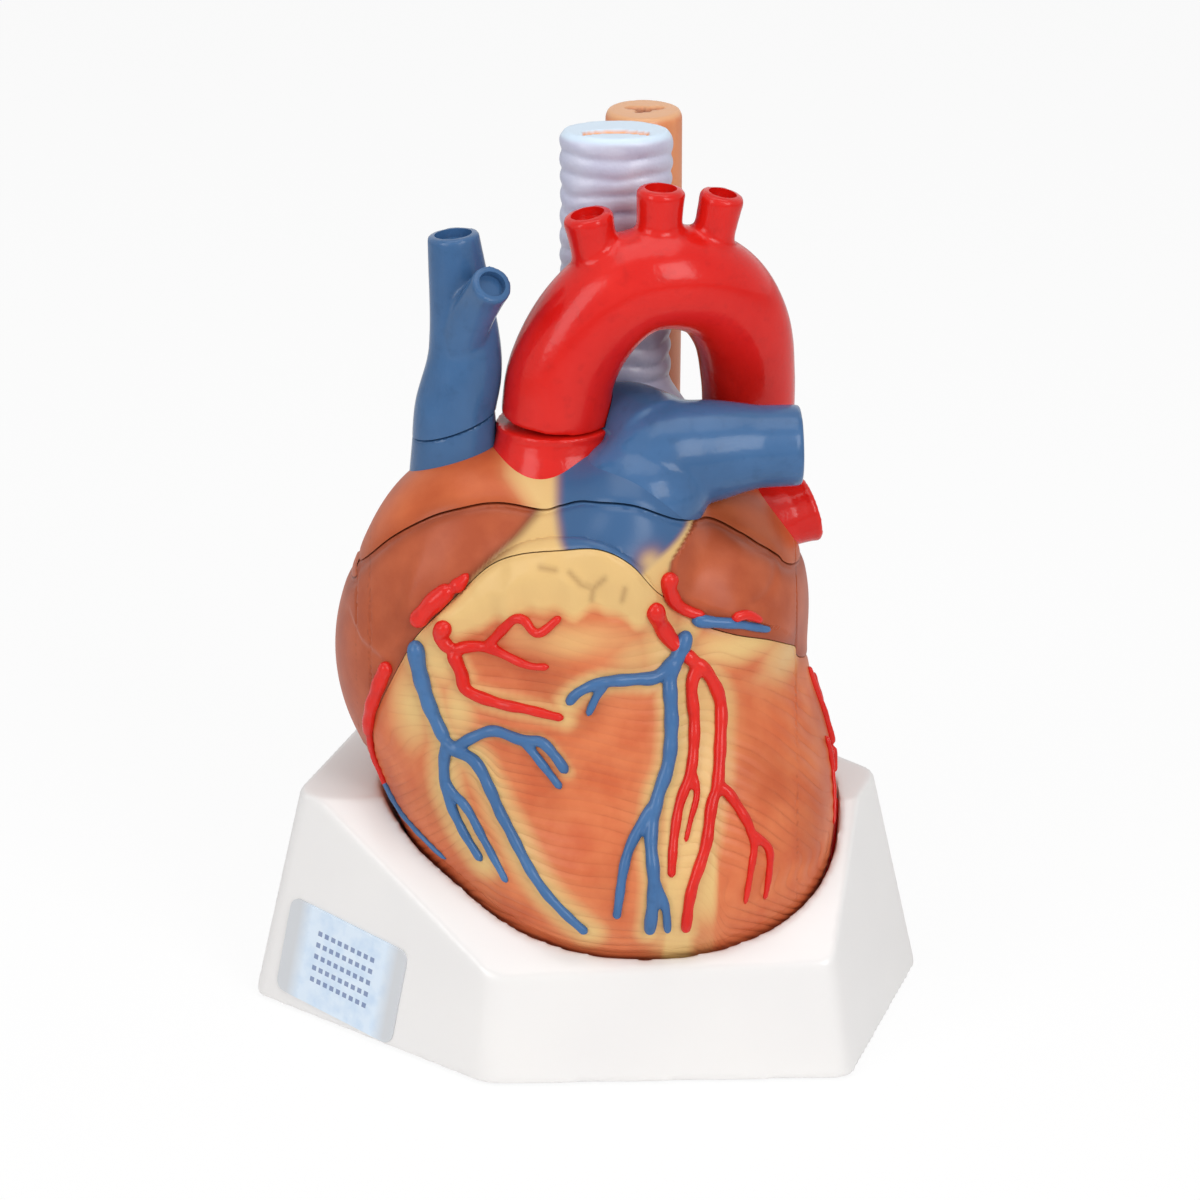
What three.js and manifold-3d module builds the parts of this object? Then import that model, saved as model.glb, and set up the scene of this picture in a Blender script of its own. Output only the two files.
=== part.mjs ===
// A classroom model of the human heart, about 1.9 times life size, standing in a white moulded base.
// Millimetres, +Z up, front of the heart towards -Y, origin on the table under the middle of the base.
import * as THREE from 'three';
import { mergeVertices } from 'three/addons/utils/BufferGeometryUtils.js';
import { ConvexGeometry } from 'three/addons/geometries/ConvexGeometry.js';
import Module from 'manifold-3d';

const wasm = await Module();
wasm.setup();

// Clearances
const FIT = 0.3; // between pieces that rest on each other
const SEAM = 0.8; // height of the open line between two castings that lift apart
const FAR = 400; // reach of the tools that cut the castings apart

// Base
const BASE_CORNERS = [[-123, -28], [-36, -100], [93, -95], [122.5, -1], [60, 66], [-80, 102.9]];
const BASE_CORNER_RADIUS = 14;
const CORNER_STEPS = 3;
const BASE_REAR_HEIGHT = 80;
const BASE_FRONT_HEIGHT = 40;
const BASE_FRONT_EDGE_Y = -91;
const BASE_CREASE_Y = -29;
const BASE_DRAFT = 11; // degrees
const BASE_WALL = 3;
const RECESS_GAP = 1.5;
const RECESS_MARGIN = 9; // the recess follows the heart up to this far above its rim
const RECESS_RISE = 40; // the recess opens upwards at least this far above the base
const FOOT_RADIUS = 7;
const FOOT_THICKNESS = 2.5;
const FOOT_PROUD = 0.5;
const FOOT_INSET = 20;
const BOSS_HEIGHT = 14;
const RIB_HEIGHT = 10;
const LABEL_WIDTH = 57;
const LABEL_HEIGHT = 36;
const LABEL_THICKNESS = 0.6;
const LABEL_RADIUS = 4;
const LABEL_SHIFT = -15; // from the middle of its wall
const LABEL_GLUE = 0.05;
const LABEL_UP_SLOPE = 22.3; // height of the label's middle above the table, along the wall
const LABEL_TURN = -5; // degrees

// Heart body: round lobes that melt together, each with its middle and half sizes
const HEART_MIDDLE = new THREE.Vector3(0, -12, 110);
const BLEND = 7;
const LOBES = {
  leftVentricle: { at: [19, -13, 88], size: [67, 53, 62] },
  rightVentricle: { at: [-28, -18, 92], size: [42, 45, 50] },
  apex: { at: [38, -40, 76], size: [44, 38, 47] },
  front: { at: [4, -33, 120], size: [50, 37, 48] },
  rightAtrium: { at: [-49, -6, 130], size: [41, 46, 50] },
  leftAtrium: { at: [32, -4, 150], size: [46, 45, 47] },
  roofRight: { at: [-39, -17, 160], size: [39, 37, 48] },
  roofMiddle: { at: [-4, -20, 160], size: [44, 38, 48] },
  pulmonaryFoot: { at: [14, -37, 184], size: [23, 27, 29] },
};
// Swellings of the front, by place, reach and height
const SWELLINGS = {
  fatHump: { x: -6, z: 166, reach: 26, height: 8 },
  leftAuricle: { x: 58, z: 160, reach: 24, height: 8 },
};
const BODY_AROUND = 32;
const BODY_ROWS = 20;
const BODY_REACH = 170; // no part of the body reaches further from its middle

// Lines where the castings part: height against X at the front of the heart
const ROOF_LINE = [
  [-130, 120], [-86, 158], [-81, 167], [-69, 182], [-55, 192], [-42, 196.5], [-31, 198], [-16, 197],
  [-9, 199], [1, 202.5], [17, 202.5], [35, 193.5], [53, 183.5], [66, 174], [76, 164], [130, 120],
];
const VALVE_LINE = [
  [-130, 96], [-81, 104], [-77, 117], [-73, 127], [-69, 136], [-64, 146], [-58, 156], [-42, 173],
  [-33, 181.5], [-23, 186], [-9, 188], [4, 189], [15, 183.5], [25, 171.5], [38, 160.5], [50, 155.5],
  [64, 151.5], [73, 146], [80, 138], [130, 126],
];
const VALVE_LINE_Y = -60; // where the valve line is drawn
const PARTING_RISE = 12; // degrees: the faces between front wall and atria rise this much to the front
const PULL_ANGLE = 8; // degrees: the front wall comes off forwards and this much upwards
const RIM = 6; // the front wall meets the atria with a rim this wide
const RIM_RELIEF = 1.5; // and lies this much lower behind it
const WALL_TOP_GAP = 0.9; // the open seam between the front wall and the atria above it
const WALL_LIFT = 3; // the front wall stops this far above the base
const WALL_BACK_Y = -12; // where the front wall ends at the back
const WALL_BACK_Z = 100;
const FRONT_Y = -160; // in front of everything

// Chambers, by middle and half sizes
const LEFT_CHAMBER = { at: [40, -14, 92], size: [30, 32, 50] };
const RIGHT_CHAMBER = { at: [-28, -20, 100], size: [32, 40, 42] };
const LEFT_ATRIUM = { at: [44, 4, 166], size: [25, 26, 26] };
const RIGHT_ATRIUM = { at: [-52, -4, 164], size: [23, 27, 33] };
const ATRIUM_FLOOR = 6;
const MITRAL = { at: [42, 2], radius: 14, from: 128, to: 166, leaflets: 2 };
const TRICUSPID = { at: [-46, -6], radius: 13, from: 126, to: 178, leaflets: 3 };
const VALVE_RIM = 2.5; // half the height of a valve's ring
const VALVE_RING = 2; // width of the ring
const VALVE_WALL = 1.4;
const VALVE_SKIRT = 13; // how far the leaflets hang below the middle of the ring
const VALVE_SLOT = 1.2; // between two leaflets
const VALVE_SLOT_TOP = 3.2;
const MITRAL_MUSCLE = { foot: [48, 26, 66], tip: [42, 0, 116] };
const TRICUSPID_MUSCLE = { foot: [-40, 26, 84], tip: [-42, -4, 120] };
const MUSCLE_RADII = [9, 5, 2.5];
const MUSCLE_CLEARANCE = 1; // between a papillary muscle and the front wall
const AORTIC_BORE = 11;
const AORTIC_WAY = [[24, -16, 122], [4, -15, 150], [-11.2, -12, 182], [-11.2, -12, 230]];
const PULMONARY_BORE = 10;
const PULMONARY_WAY = [[-18, -38, 124], [-4, -50, 158], [8, -49, 186], [13, -42, 204]];

// Great vessels
const AORTA_ROUTE = [
  [-11.2, -12, 218.5], [-9, -12, 236], [0, -12, 254], [14, -11, 267], [30, -8, 269.5], [45, 0, 262],
  [54, 8, 246], [57, 15, 226], [57.5, 20, 205], [57.5, 24, 180],
];
const AORTA_RADII = [19.5, 19, 18.8, 18.6, 18.4, 18, 17.4, 16.8, 16.5, 16.2];
const AORTA_BRANCHES = [
  { from: [6, -11, 262], to: [0, -13, 294], radius: 8.3 },
  { from: [24, -9, 270], to: [25.5, -9, 302], radius: 8 },
  { from: [40, -4, 268], to: [47, -5, 299], radius: 7.4 },
];
const LIP_ROOT = 1.12; // a branch's radius where it leaves, as a share of its own
const LIP_END = 1.06;
const LUMEN_DEPTH = 3;
const STUB_WALL = 2.4;
const SPIGOT_RADIUS = 14;
const SPIGOT_LENGTH = 4;
const AORTA_HOLLOW = 14; // depth of the hollow in the aorta's foot
const COLLAR_HEIGHT = 24;
const COLLAR_TOP_RADIUS = 21;
const COLLAR_FOOT_RADIUS = 28;

const PULMONARY_ROUTE = [
  [10, -33, 188], [18, -30, 200], [27, -27, 209.5], [38, -25, 210.5], [54, -24, 212], [75, -23, 212.5],
];
const PULMONARY_RADII = [21, 19, 19.2, 18, 14.6, 14.3];
const RIGHT_PULMONARY_ROUTE = [
  [26, -25, 211.5], [20, -14, 213], [11, -3, 213.5], [2, 9, 207], [-22, 21, 196], [-56, 18, 189],
];
const RIGHT_PULMONARY_RADII = [19, 16, 12.5, 11, 10.5, 10];
const PULMONARY_VEINS = [
  { name: 'pulmonary_vein_left_upper', from: [58, 4, 174], to: [80, 0, 177], radius: 11 },
];
const LOWER_VEINS = [
  { name: 'pulmonary_vein_left_lower', from: [48, 18, 158], to: [68, 44, 158], radius: 10 },
  { name: 'pulmonary_vein_right_upper', from: [-46, 14, 156], to: [-62, 40, 156], radius: 9 },
  { name: 'pulmonary_vein_right_lower', from: [-30, 20, 160], to: [-42, 48, 160], radius: 9 },
];

const CAVA_ROUTE = [[-47, -12, 208], [-46.5, -12, 222], [-42.8, -12, 244], [-46.5, -11, 286]];
const CAVA_RADII = [15, 13.8, 11.3, 9];
const CAVA_BRANCH_ROUTE = [[-45, -13, 238], [-42, -19, 254], [-36, -27, 268], [-32.5, -33, 275]];
const CAVA_BRANCH_RADII = [10, 8.2, 7.4, 7.2];
const CAVA_SEAM = [[-62, 212], [-31, 222.5]];
const CAVA_SEAM_REACH = [-120, 0];
const CAVA_STUB = { foot: [-47, -10, 188], top: [-46.5, -12, 230], footRadius: 17, topRadius: 13.4 };
const CAVA_BORE = { at: [-47, -11], from: 170, to: 226, radius: 6 };

const TRACHEA_AT = [10, 25];
const TRACHEA_HALF = [20.5, 13.8];
const TRACHEA_TOP = 313;
const TRACHEA_FOOT = 216;
const RING_PITCH = 7;
const RING_DEPTH = 1.7;
const LEFT_BRONCHUS = [[12, 25, 228], [21, 25, 215], [31, 25, 203]];
const RIGHT_BRONCHUS = [[8, 25, 228], [-4, 26, 218], [-22, 27, 212]];
const BRONCHUS_RADII = [12, 10, 8.5];
const SLIT_HALF = [11, 3.2];
const SLIT_SHIFT = -1;
const TRACHEA_POST = { shift: 6, from: 160, to: 222, radius: 5 }; // stands on the atria
const OESOPHAGUS_AT = [20, 54];
const OESOPHAGUS_RADIUS = 14;
const OESOPHAGUS_TOP = 312;
const OESOPHAGUS_FOOT = 172;
const OESOPHAGUS_LUMEN = { radius: 6, depth: 2 };
const OESOPHAGUS_PEG_MARGIN = 16.5; // from the ends of the trachea

const PEG_RADIUS = 2;
const PEG_HALF = 8;
const ROOF_PEG_HALF = 5;
const WALL_PEGS = [[-71, 114], [76, 112], [-30, 155]];
const ATRIA_PEGS = [[-12, 24], [18, 24]];
const ROOF_PEGS = [[-28, 4], [22, -18]];

// Vessels on the muscle: routes in X and height, seen from the front
const VESSEL_HEIGHT = 0.35; // how far a vessel's middle stands over the muscle, as a share of its radius
const VESSEL_GAP = 0.7; // under a vessel, because it bridges the facets of the muscle
const VESSEL_STEP = 8;
const VESSEL_SIDES = 5;
const ANTERIOR_ROOT = [{ radius: 3, route: [[22.5, 167], [24.5, 162], [27, 157]] }];
const ANTERIOR_ARTERY = [
  { radius: 2.7, route: [[37, 149], [39, 144]] },
  { radius: 2.3, route: [[38, 147], [36, 138], [37, 125], [36, 111], [32, 100], [30, 89], [29, 76]] },
  { radius: 1.8, route: [[36, 111], [38, 103], [36, 95], [34, 86]] },
  {
    radius: 2.4,
    route: [[38, 147], [43, 140], [46, 131], [46, 118], [45, 105], [43, 99], [41, 86], [36, 71], [34, 56]],
  },
  { radius: 2.0, route: [[45, 105], [49, 102], [55, 93], [59, 85], [58, 78], [55, 64]] },
  { radius: 1.7, route: [[59, 85], [63, 80], [63, 63]] },
];
const MARGINAL_ARTERY = [
  {
    radius: 3.1,
    route: [
      [-49.5, 157.5], [-50.5, 152], [-47, 148], [-43.5, 141], [-41.5, 135], [-31, 132], [-20, 131], [-8, 129],
    ],
  },
  { radius: 2.0, route: [[-47, 148.5], [-40, 151], [-33, 151], [-21, 147.5], [-13, 148]] },
  { radius: 1.8, route: [[-34, 151], [-29, 159], [-25, 163.5], [-21.5, 163.5], [-17, 159.5], [-9, 166]] },
];
const GREAT_VEIN = [
  {
    radius: 2.8,
    route: [[34.5, 156], [32, 150], [28, 142], [29, 127], [28, 113], [24, 101], [22, 89], [23, 74], [21, 54]],
  },
  { radius: 2.3, route: [[28.5, 142.5], [18, 142], [4, 142], [-3, 138], [-6, 135]] },
  { radius: 1.9, route: [[4, 142], [3, 137], [0, 130]] },
  { radius: 2.2, route: [[24, 101], [18, 92], [13, 81], [10, 60]] },
  { radius: 2.0, route: [[23, 74], [27, 66], [28, 54]] },
];
const ANTERIOR_VEIN = [
  { radius: 2.8, route: [[-59, 147], [-58, 139], [-55, 128], [-48, 114]] },
  { radius: 2.5, route: [[-49, 114.5], [-39, 110], [-34, 101], [-29, 90], [-17, 71], [0, 53]] },
  { radius: 2.3, route: [[-46, 112], [-39, 119], [-32, 122], [-23, 120], [-16, 120], [-11, 115], [-7, 109]] },
  { radius: 1.9, route: [[-22, 120], [-15, 111], [-9, 103]] },
  { radius: 2.2, route: [[-48.5, 115.5], [-50, 104], [-48, 93], [-43, 82], [-37, 73]] },
  { radius: 1.8, route: [[-48, 99], [-42, 92], [-36, 81], [-28, 68]] },
];
const GROOVE_ARTERY = [{ radius: 2.2, route: [[-66.5, 137], [-70, 128], [-73, 118], [-75, 107]] }];
const ARTERY_ROOT = [
  { radius: 3.4, route: [[-41, 177], [-45, 172.5], [-51, 167], [-56, 161.5], [-60, 156]] },
];
const AURICLE_ARTERY = [
  { radius: 2.6, route: [[28, 181], [27, 175.5], [30, 170.5], [37, 167.5], [48, 167.5], [57, 165.5]] },
];
const VEIN_ARM = [{ radius: 2.6, route: [[40, 161.5], [46, 161], [54, 159.5], [64, 156]] }];
const REAR_ARTERY = [
  { radius: 2.7, route: [[-6, 148], [-4, 121], [4, 97], [12, 92]] },
  { radius: 2.1, route: [[-4, 121], [-19, 106], [-30, 93]] },
];
const REAR_VEIN = [
  { radius: 3.0, route: [[8, 146], [10, 124], [20, 104], [26, 92]] },
  { radius: 2.2, route: [[10, 124], [26, 116], [38, 100]] },
];
const EDGE_ARTERY = [{ radius: 2.0, route: [[-3, 117], [-4, 106], [-5, 93]] }];
const EDGE_VEIN = [{ radius: 2.0, route: [[6, 115], [6, 104], [4, 93]] }];

const COLOURS = {
  base: [0xf2efea, 0.35], rubber: [0x4a4a4c, 0.8], label: [0xdfe9f3, 0.4], steel: [0xb9bcc0, 0.3],
  muscle: [0xd67f52, 0.5], atrium: [0xb5663f, 0.5], roof: [0xc56b42, 0.5], red: [0xe0221b, 0.25],
  blue: [0x47719e, 0.35], chamber: [0xd99a80, 0.5], valve: [0xead9b8, 0.45], airway: [0xc9cbdc, 0.5],
  gullet: [0xe0935f, 0.5],
};

const radians = (degrees) => degrees * Math.PI / 180;
const point = (xyz) => new THREE.Vector3(...xyz);

// Solids
function solid(geometry) {
  const bare = geometry.clone();
  bare.deleteAttribute('normal');
  bare.deleteAttribute('uv');
  const joined = mergeVertices(bare, 1e-4);
  return new wasm.Manifold(new wasm.Mesh({
    numProp: 3,
    vertProperties: new Float32Array(joined.attributes.position.array),
    triVerts: new Uint32Array(joined.index.array),
  }));
}

function geometryOf(shape) {
  const mesh = shape.getMesh();
  const geometry = new THREE.BufferGeometry();
  geometry.setAttribute('position', new THREE.BufferAttribute(new Float32Array(mesh.vertProperties), 3));
  geometry.setIndex(new THREE.BufferAttribute(new Uint32Array(mesh.triVerts), 1));
  return geometry;
}

const join = (shapes) => shapes.reduce((all, shape) => all.add(shape));

function ellipsoid({ at, size }, grow = 0, around = 14, rows = 10) {
  const ball = new THREE.SphereGeometry(1, around, rows).rotateX(Math.PI / 2);
  ball.scale(size[0] + grow, size[1] + grow, size[2] + grow).translate(...at);
  return solid(ball);
}

// A straight round bar between two points
function bar(from, to, radiusFrom, radiusTo = radiusFrom, sides = 14) {
  const axis = to.clone().sub(from);
  const cylinder = new THREE.CylinderGeometry(radiusTo, radiusFrom, axis.length(), sides);
  const upright = new THREE.Vector3(0, 1, 0);
  cylinder.applyQuaternion(new THREE.Quaternion().setFromUnitVectors(upright, axis.normalize()));
  cylinder.translate(...from.clone().add(to).multiplyScalar(0.5));
  return solid(cylinder);
}

// A round tube that follows a route, with a radius for each of its points, closed at both ends
function tube(route, radii, steps, sides, settle = null) {
  const places = route.map((p) => (p.isVector3 ? p : point(p)));
  const curve = new THREE.CatmullRomCurve3(places, false, 'centripetal');
  const geometry = new THREE.TubeGeometry(curve, steps, 1, sides, false);
  const position = geometry.attributes.position;
  const vertex = new THREE.Vector3();
  const middles = [];
  for (let ring = 0; ring <= steps; ring += 1) {
    const along = ring / steps;
    const middle = curve.getPointAt(along);
    const place = along * (radii.length - 1);
    const left = Math.min(Math.floor(place), radii.length - 2);
    const radius = THREE.MathUtils.lerp(radii[left], radii[left + 1], place - left);
    for (let side = 0; side <= sides; side += 1) {
      const i = ring * (sides + 1) + side;
      vertex.fromBufferAttribute(position, i).sub(middle).multiplyScalar(radius).add(middle);
      if (settle) settle(vertex);
      position.setXYZ(i, vertex.x, vertex.y, vertex.z);
    }
    middles.push(middle);
  }
  const count = position.count;
  const corners = [...position.array, ...middles[0].toArray(), ...middles[steps].toArray()];
  const faces = [...geometry.index.array];
  const last = steps * (sides + 1);
  for (let side = 0; side < sides; side += 1) {
    faces.push(count, side, side + 1);
    faces.push(count + 1, last + side + 1, last + side);
  }
  const closed = new THREE.BufferGeometry();
  closed.setAttribute('position', new THREE.Float32BufferAttribute(corners, 3));
  closed.setIndex(faces);
  return solid(closed);
}

// A thick plate: an outline in X and height, pushed through the heart from front to back
function throughPlate(outline, risePerDepth = 0, depthFrom = 0) {
  const shape = new THREE.Shape(outline.map(([x, z]) => new THREE.Vector2(x, z)));
  const geometry = new THREE.ExtrudeGeometry(shape, { depth: 2 * FAR, bevelEnabled: false });
  const position = geometry.attributes.position;
  for (let i = 0; i < position.count; i += 1) {
    const y = FAR - position.getZ(i);
    position.setXYZ(i, position.getX(i), y, position.getY(i) - risePerDepth * (y - depthFrom));
  }
  return solid(geometry);
}

// A thick plate: an outline in Y and height, pushed through the heart from side to side
function sidePlate(outline) {
  const shape = new THREE.Shape(outline.map(([y, z]) => new THREE.Vector2(y, z)));
  const geometry = new THREE.ExtrudeGeometry(shape, { depth: 2 * FAR, bevelEnabled: false });
  const position = geometry.attributes.position;
  for (let i = 0; i < position.count; i += 1) {
    position.setXYZ(i, position.getZ(i) - FAR, position.getX(i), position.getY(i));
  }
  return solid(geometry);
}

// Everything above a line drawn in X and height
function above(line, shift, risePerDepth = 0, depthFrom = 0) {
  const lifted = line.map(([x, z]) => [x, z + shift]);
  const ends = [[line[line.length - 1][0], FAR], [line[0][0], FAR]];
  return throughPlate([...lifted, ...ends], risePerDepth, depthFrom);
}

// Heart body
function lobeField(x, y, z) {
  let sum = 0;
  for (const { at, size } of Object.values(LOBES)) {
    const distance = Math.hypot((x - at[0]) / size[0], (y - at[1]) / size[1], (z - at[2]) / size[2]);
    sum += distance ** -BLEND;
  }
  return sum;
}

function bodyReach(direction) {
  const field = (reach) => lobeField(...HEART_MIDDLE.clone().addScaledVector(direction, reach).toArray());
  let outer = BODY_REACH;
  const step = 2;
  while (field(outer) < 1) outer -= step;
  let inner = outer;
  outer += step;
  for (let halving = 0; halving < 12; halving += 1) {
    const middle = (inner + outer) / 2;
    if (field(middle) < 1) outer = middle;
    else inner = middle;
  }
  const skin = HEART_MIDDLE.clone().addScaledVector(direction, inner);
  const facing = THREE.MathUtils.clamp(-2 * direction.y, 0, 1);
  for (const { x, z, reach, height } of Object.values(SWELLINGS)) {
    const away = ((skin.x - x) ** 2 + (skin.z - z) ** 2) / reach ** 2;
    inner += facing * height * Math.exp(-away * away);
  }
  return inner;
}

function bodyGeometry(grow = 0) {
  const ball = new THREE.SphereGeometry(1, BODY_AROUND, BODY_ROWS).rotateX(Math.PI / 2);
  const position = ball.attributes.position;
  const direction = new THREE.Vector3();
  for (let i = 0; i < position.count; i += 1) {
    direction.fromBufferAttribute(position, i).normalize();
    const skin = direction.clone().multiplyScalar(bodyReach(direction) + grow).add(HEART_MIDDLE);
    position.setXYZ(i, ...skin);
  }
  return ball;
}

// Where a straight look at the heart meets its skin
function skinPoint(start, look) {
  const p = start.clone();
  const outside = (q) => {
    const arm = q.clone().sub(HEART_MIDDLE);
    return arm.length() > bodyReach(arm.clone().normalize());
  };
  while (outside(p)) p.addScaledVector(look, 3);
  for (let step = 1.5; step > 0.02; step /= 2) p.addScaledVector(look, outside(p) ? step : -step);
  return p;
}

const FACING = {
  front: { start: ([x, z]) => new THREE.Vector3(x, -96, z), look: new THREE.Vector3(0, 1, 0) },
  back: { start: ([x, z]) => new THREE.Vector3(x, 66, z), look: new THREE.Vector3(0, -1, 0) },
  side: { start: ([y, z]) => new THREE.Vector3(100, y, z), look: new THREE.Vector3(-1, 0, 0) },
};

const skinMesh = new THREE.Mesh(bodyGeometry(), new THREE.MeshStandardMaterial({ side: THREE.DoubleSide }));
const feeler = new THREE.Raycaster();

// Lifts a point that lies in the heart out of its faceted skin
function outOfHeart(vertex) {
  const arm = vertex.clone().sub(HEART_MIDDLE);
  feeler.set(HEART_MIDDLE, arm.clone().normalize());
  const least = feeler.intersectObject(skinMesh)[0].distance + VESSEL_GAP;
  if (arm.length() < least) vertex.copy(arm.setLength(least).add(HEART_MIDDLE));
}

// A vessel tree that lies on the skin, flat underneath
function skinVessels(branches, side = 'front', grow = 0) {
  const { start, look } = FACING[side];
  const limbs = branches.map(({ radius, route }) => {
    const line = new THREE.SplineCurve(route.map(([a, z]) => new THREE.Vector2(a, z)));
    const pieces = Math.max(2, Math.round(line.getLength() / VESSEL_STEP));
    const places = line.getSpacedPoints(pieces).map(({ x, y }) => {
      const skin = skinPoint(start([x, y]), look);
      return skin.addScaledVector(look, -VESSEL_HEIGHT * radius);
    });
    const girth = radius + grow;
    return tube(places, [girth, girth, girth * 0.75], pieces, VESSEL_SIDES, outOfHeart);
  });
  return join(limbs);
}

// Base
function insetCorners(corners, distance) {
  return corners.map((corner, i) => {
    const before = corners[(i + corners.length - 1) % corners.length];
    const after = corners[(i + 1) % corners.length];
    const inward = (a, b) => new THREE.Vector2(a[1] - b[1], b[0] - a[0]).normalize();
    const one = inward(before, corner);
    const two = inward(corner, after);
    const half = one.clone().add(two);
    half.multiplyScalar(distance / (1 + one.dot(two)));
    return [corner[0] + half.x, corner[1] + half.y];
  });
}

function roundedCorners(corners, radius, z) {
  const middles = insetCorners(corners, radius);
  const points = [];
  middles.forEach(([x, y], i) => {
    const before = corners[(i + corners.length - 1) % corners.length];
    const after = corners[(i + 1) % corners.length];
    const [cx, cy] = corners[i];
    const startAngle = Math.atan2(before[0] - cx, cy - before[1]);
    let turn = Math.atan2(cx - after[0], after[1] - cy) - startAngle;
    while (turn < -Math.PI) turn += 2 * Math.PI;
    while (turn > Math.PI) turn -= 2 * Math.PI;
    for (let k = 0; k <= CORNER_STEPS; k += 1) {
      const angle = startAngle + (turn * k) / CORNER_STEPS;
      points.push(new THREE.Vector3(x + radius * Math.cos(angle), y + radius * Math.sin(angle), z));
    }
  });
  return points;
}

function baseBlock(inset, bottom, top) {
  const draft = Math.tan(radians(BASE_DRAFT));
  const radius = Math.max(BASE_CORNER_RADIUS - inset, 1);
  const ring = (z) => roundedCorners(insetCorners(BASE_CORNERS, inset + z * draft), radius, z);
  return solid(new ConvexGeometry([...ring(bottom), ...ring(top)]));
}

// Height of the base's top: level at the rear, falling towards the front
const topSlope = (BASE_REAR_HEIGHT - BASE_FRONT_HEIGHT) / (BASE_CREASE_Y - BASE_FRONT_EDGE_Y);
const topHeight = (y) => BASE_REAR_HEIGHT + topSlope * Math.min(0, y - BASE_CREASE_Y);

// Everything above the base's top faces, lowered by a wall
function aboveBase(lower) {
  const drop = lower * Math.hypot(1, topSlope);
  const crease = BASE_CREASE_Y + (drop - lower) / topSlope;
  return sidePlate([
    [FRONT_Y, topHeight(FRONT_Y) - drop], [crease, BASE_REAR_HEIGHT - lower], [FAR, BASE_REAR_HEIGHT - lower],
    [FAR, FAR], [FRONT_Y, FAR],
  ]);
}

function recess(gap, drop) {
  const position = bodyGeometry().attributes.position;
  const points = [];
  for (let i = 0; i < position.count; i += 1) {
    const skin = new THREE.Vector3().fromBufferAttribute(position, i);
    if (skin.z > topHeight(skin.y) + RECESS_MARGIN) continue;
    const outward = new THREE.Vector3(skin.x - HEART_MIDDLE.x, skin.y - HEART_MIDDLE.y, 0);
    if (outward.length() > 1) outward.normalize();
    skin.addScaledVector(outward, gap);
    points.push(new THREE.Vector3(skin.x, skin.y, skin.z - drop));
    points.push(new THREE.Vector3(skin.x, skin.y, BASE_REAR_HEIGHT + RECESS_RISE));
  }
  return solid(new ConvexGeometry(points));
}

const footPlaces = insetCorners(BASE_CORNERS, FOOT_INSET);
const upright = (x, y, from, to, radius, sides = 16) => (
  bar(new THREE.Vector3(x, y, from), new THREE.Vector3(x, y, to), radius, radius, sides));

function baseShell() {
  const outer = baseBlock(0, FOOT_PROUD, BASE_REAR_HEIGHT).subtract(aboveBase(0));
  const room = baseBlock(BASE_WALL, -1, BASE_REAR_HEIGHT).subtract(aboveBase(BASE_WALL));
  const bosses = footPlaces.map(([x, y]) => (
    upright(x, y, FOOT_PROUD, BOSS_HEIGHT + BASE_WALL, FOOT_RADIUS + BASE_WALL)));
  const pockets = footPlaces.map(([x, y]) => (
    upright(x, y, -1, FOOT_THICKNESS + FIT, FOOT_RADIUS + FIT, 12)));
  const ribs = footPlaces.map(([x, y]) => {
    const out = new THREE.Vector3(x, y, 0).normalize().multiplyScalar(FOOT_INSET);
    const inner = new THREE.Vector3(x, y, RIB_HEIGHT);
    return bar(inner, inner.clone().add(out), BASE_WALL, BASE_WALL, 8);
  });
  return outer
    .subtract(room.subtract(recess(RECESS_GAP + BASE_WALL, FIT + BASE_WALL)))
    .add(join([...bosses, ...ribs]).intersect(outer))
    .subtract(recess(RECESS_GAP, FIT))
    .subtract(join(pockets));
}

function labelPlate() {
  const [a, b] = BASE_CORNERS;
  const along = new THREE.Vector3(b[0] - a[0], b[1] - a[1], 0).normalize();
  const outward = new THREE.Vector3(along.y, -along.x, 0);
  const draft = radians(BASE_DRAFT);
  const up = outward.clone().multiplyScalar(-Math.sin(draft)).add(new THREE.Vector3(0, 0, Math.cos(draft)));
  const face = outward.clone().multiplyScalar(Math.cos(draft)).add(new THREE.Vector3(0, 0, Math.sin(draft)));
  const w = LABEL_WIDTH / 2;
  const h = LABEL_HEIGHT / 2;
  const r = LABEL_RADIUS;
  const outline = new THREE.Shape();
  outline.moveTo(-w + r, -h);
  outline.lineTo(w - r, -h);
  outline.absarc(w - r, -h + r, r, -Math.PI / 2, 0);
  outline.lineTo(w, h - r);
  outline.absarc(w - r, h - r, r, 0, Math.PI / 2);
  outline.lineTo(-w + r, h);
  outline.absarc(-w + r, h - r, r, Math.PI / 2, Math.PI);
  outline.lineTo(-w, -h + r);
  outline.absarc(-w + r, -h + r, r, Math.PI, 1.5 * Math.PI);
  const thickness = { depth: LABEL_THICKNESS, bevelEnabled: false, curveSegments: 2 };
  const plate = new THREE.ExtrudeGeometry(outline, thickness);
  const middle = new THREE.Vector3((a[0] + b[0]) / 2, (a[1] + b[1]) / 2, 0);
  middle.addScaledVector(up, LABEL_UP_SLOPE).addScaledVector(along, LABEL_SHIFT);
  middle.addScaledVector(face, LABEL_GLUE);
  plate.rotateZ(radians(LABEL_TURN));
  plate.applyMatrix4(new THREE.Matrix4().makeBasis(along, up, face).setPosition(middle));
  return solid(plate);
}

// Parting the heart
const partingRise = Math.tan(radians(PARTING_RISE));
const pull = radians(PULL_ANGLE);
const pullDirection = new THREE.Vector3(0, -Math.cos(pull), Math.sin(pull));
const heart = solid(bodyGeometry());
const heartGrown = solid(bodyGeometry(FIT));
const aboveRoofLine = (shift) => above(ROOF_LINE, shift);
const aboveValveLine = (shift) => above(VALVE_LINE, shift, partingRise, VALVE_LINE_Y);

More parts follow.
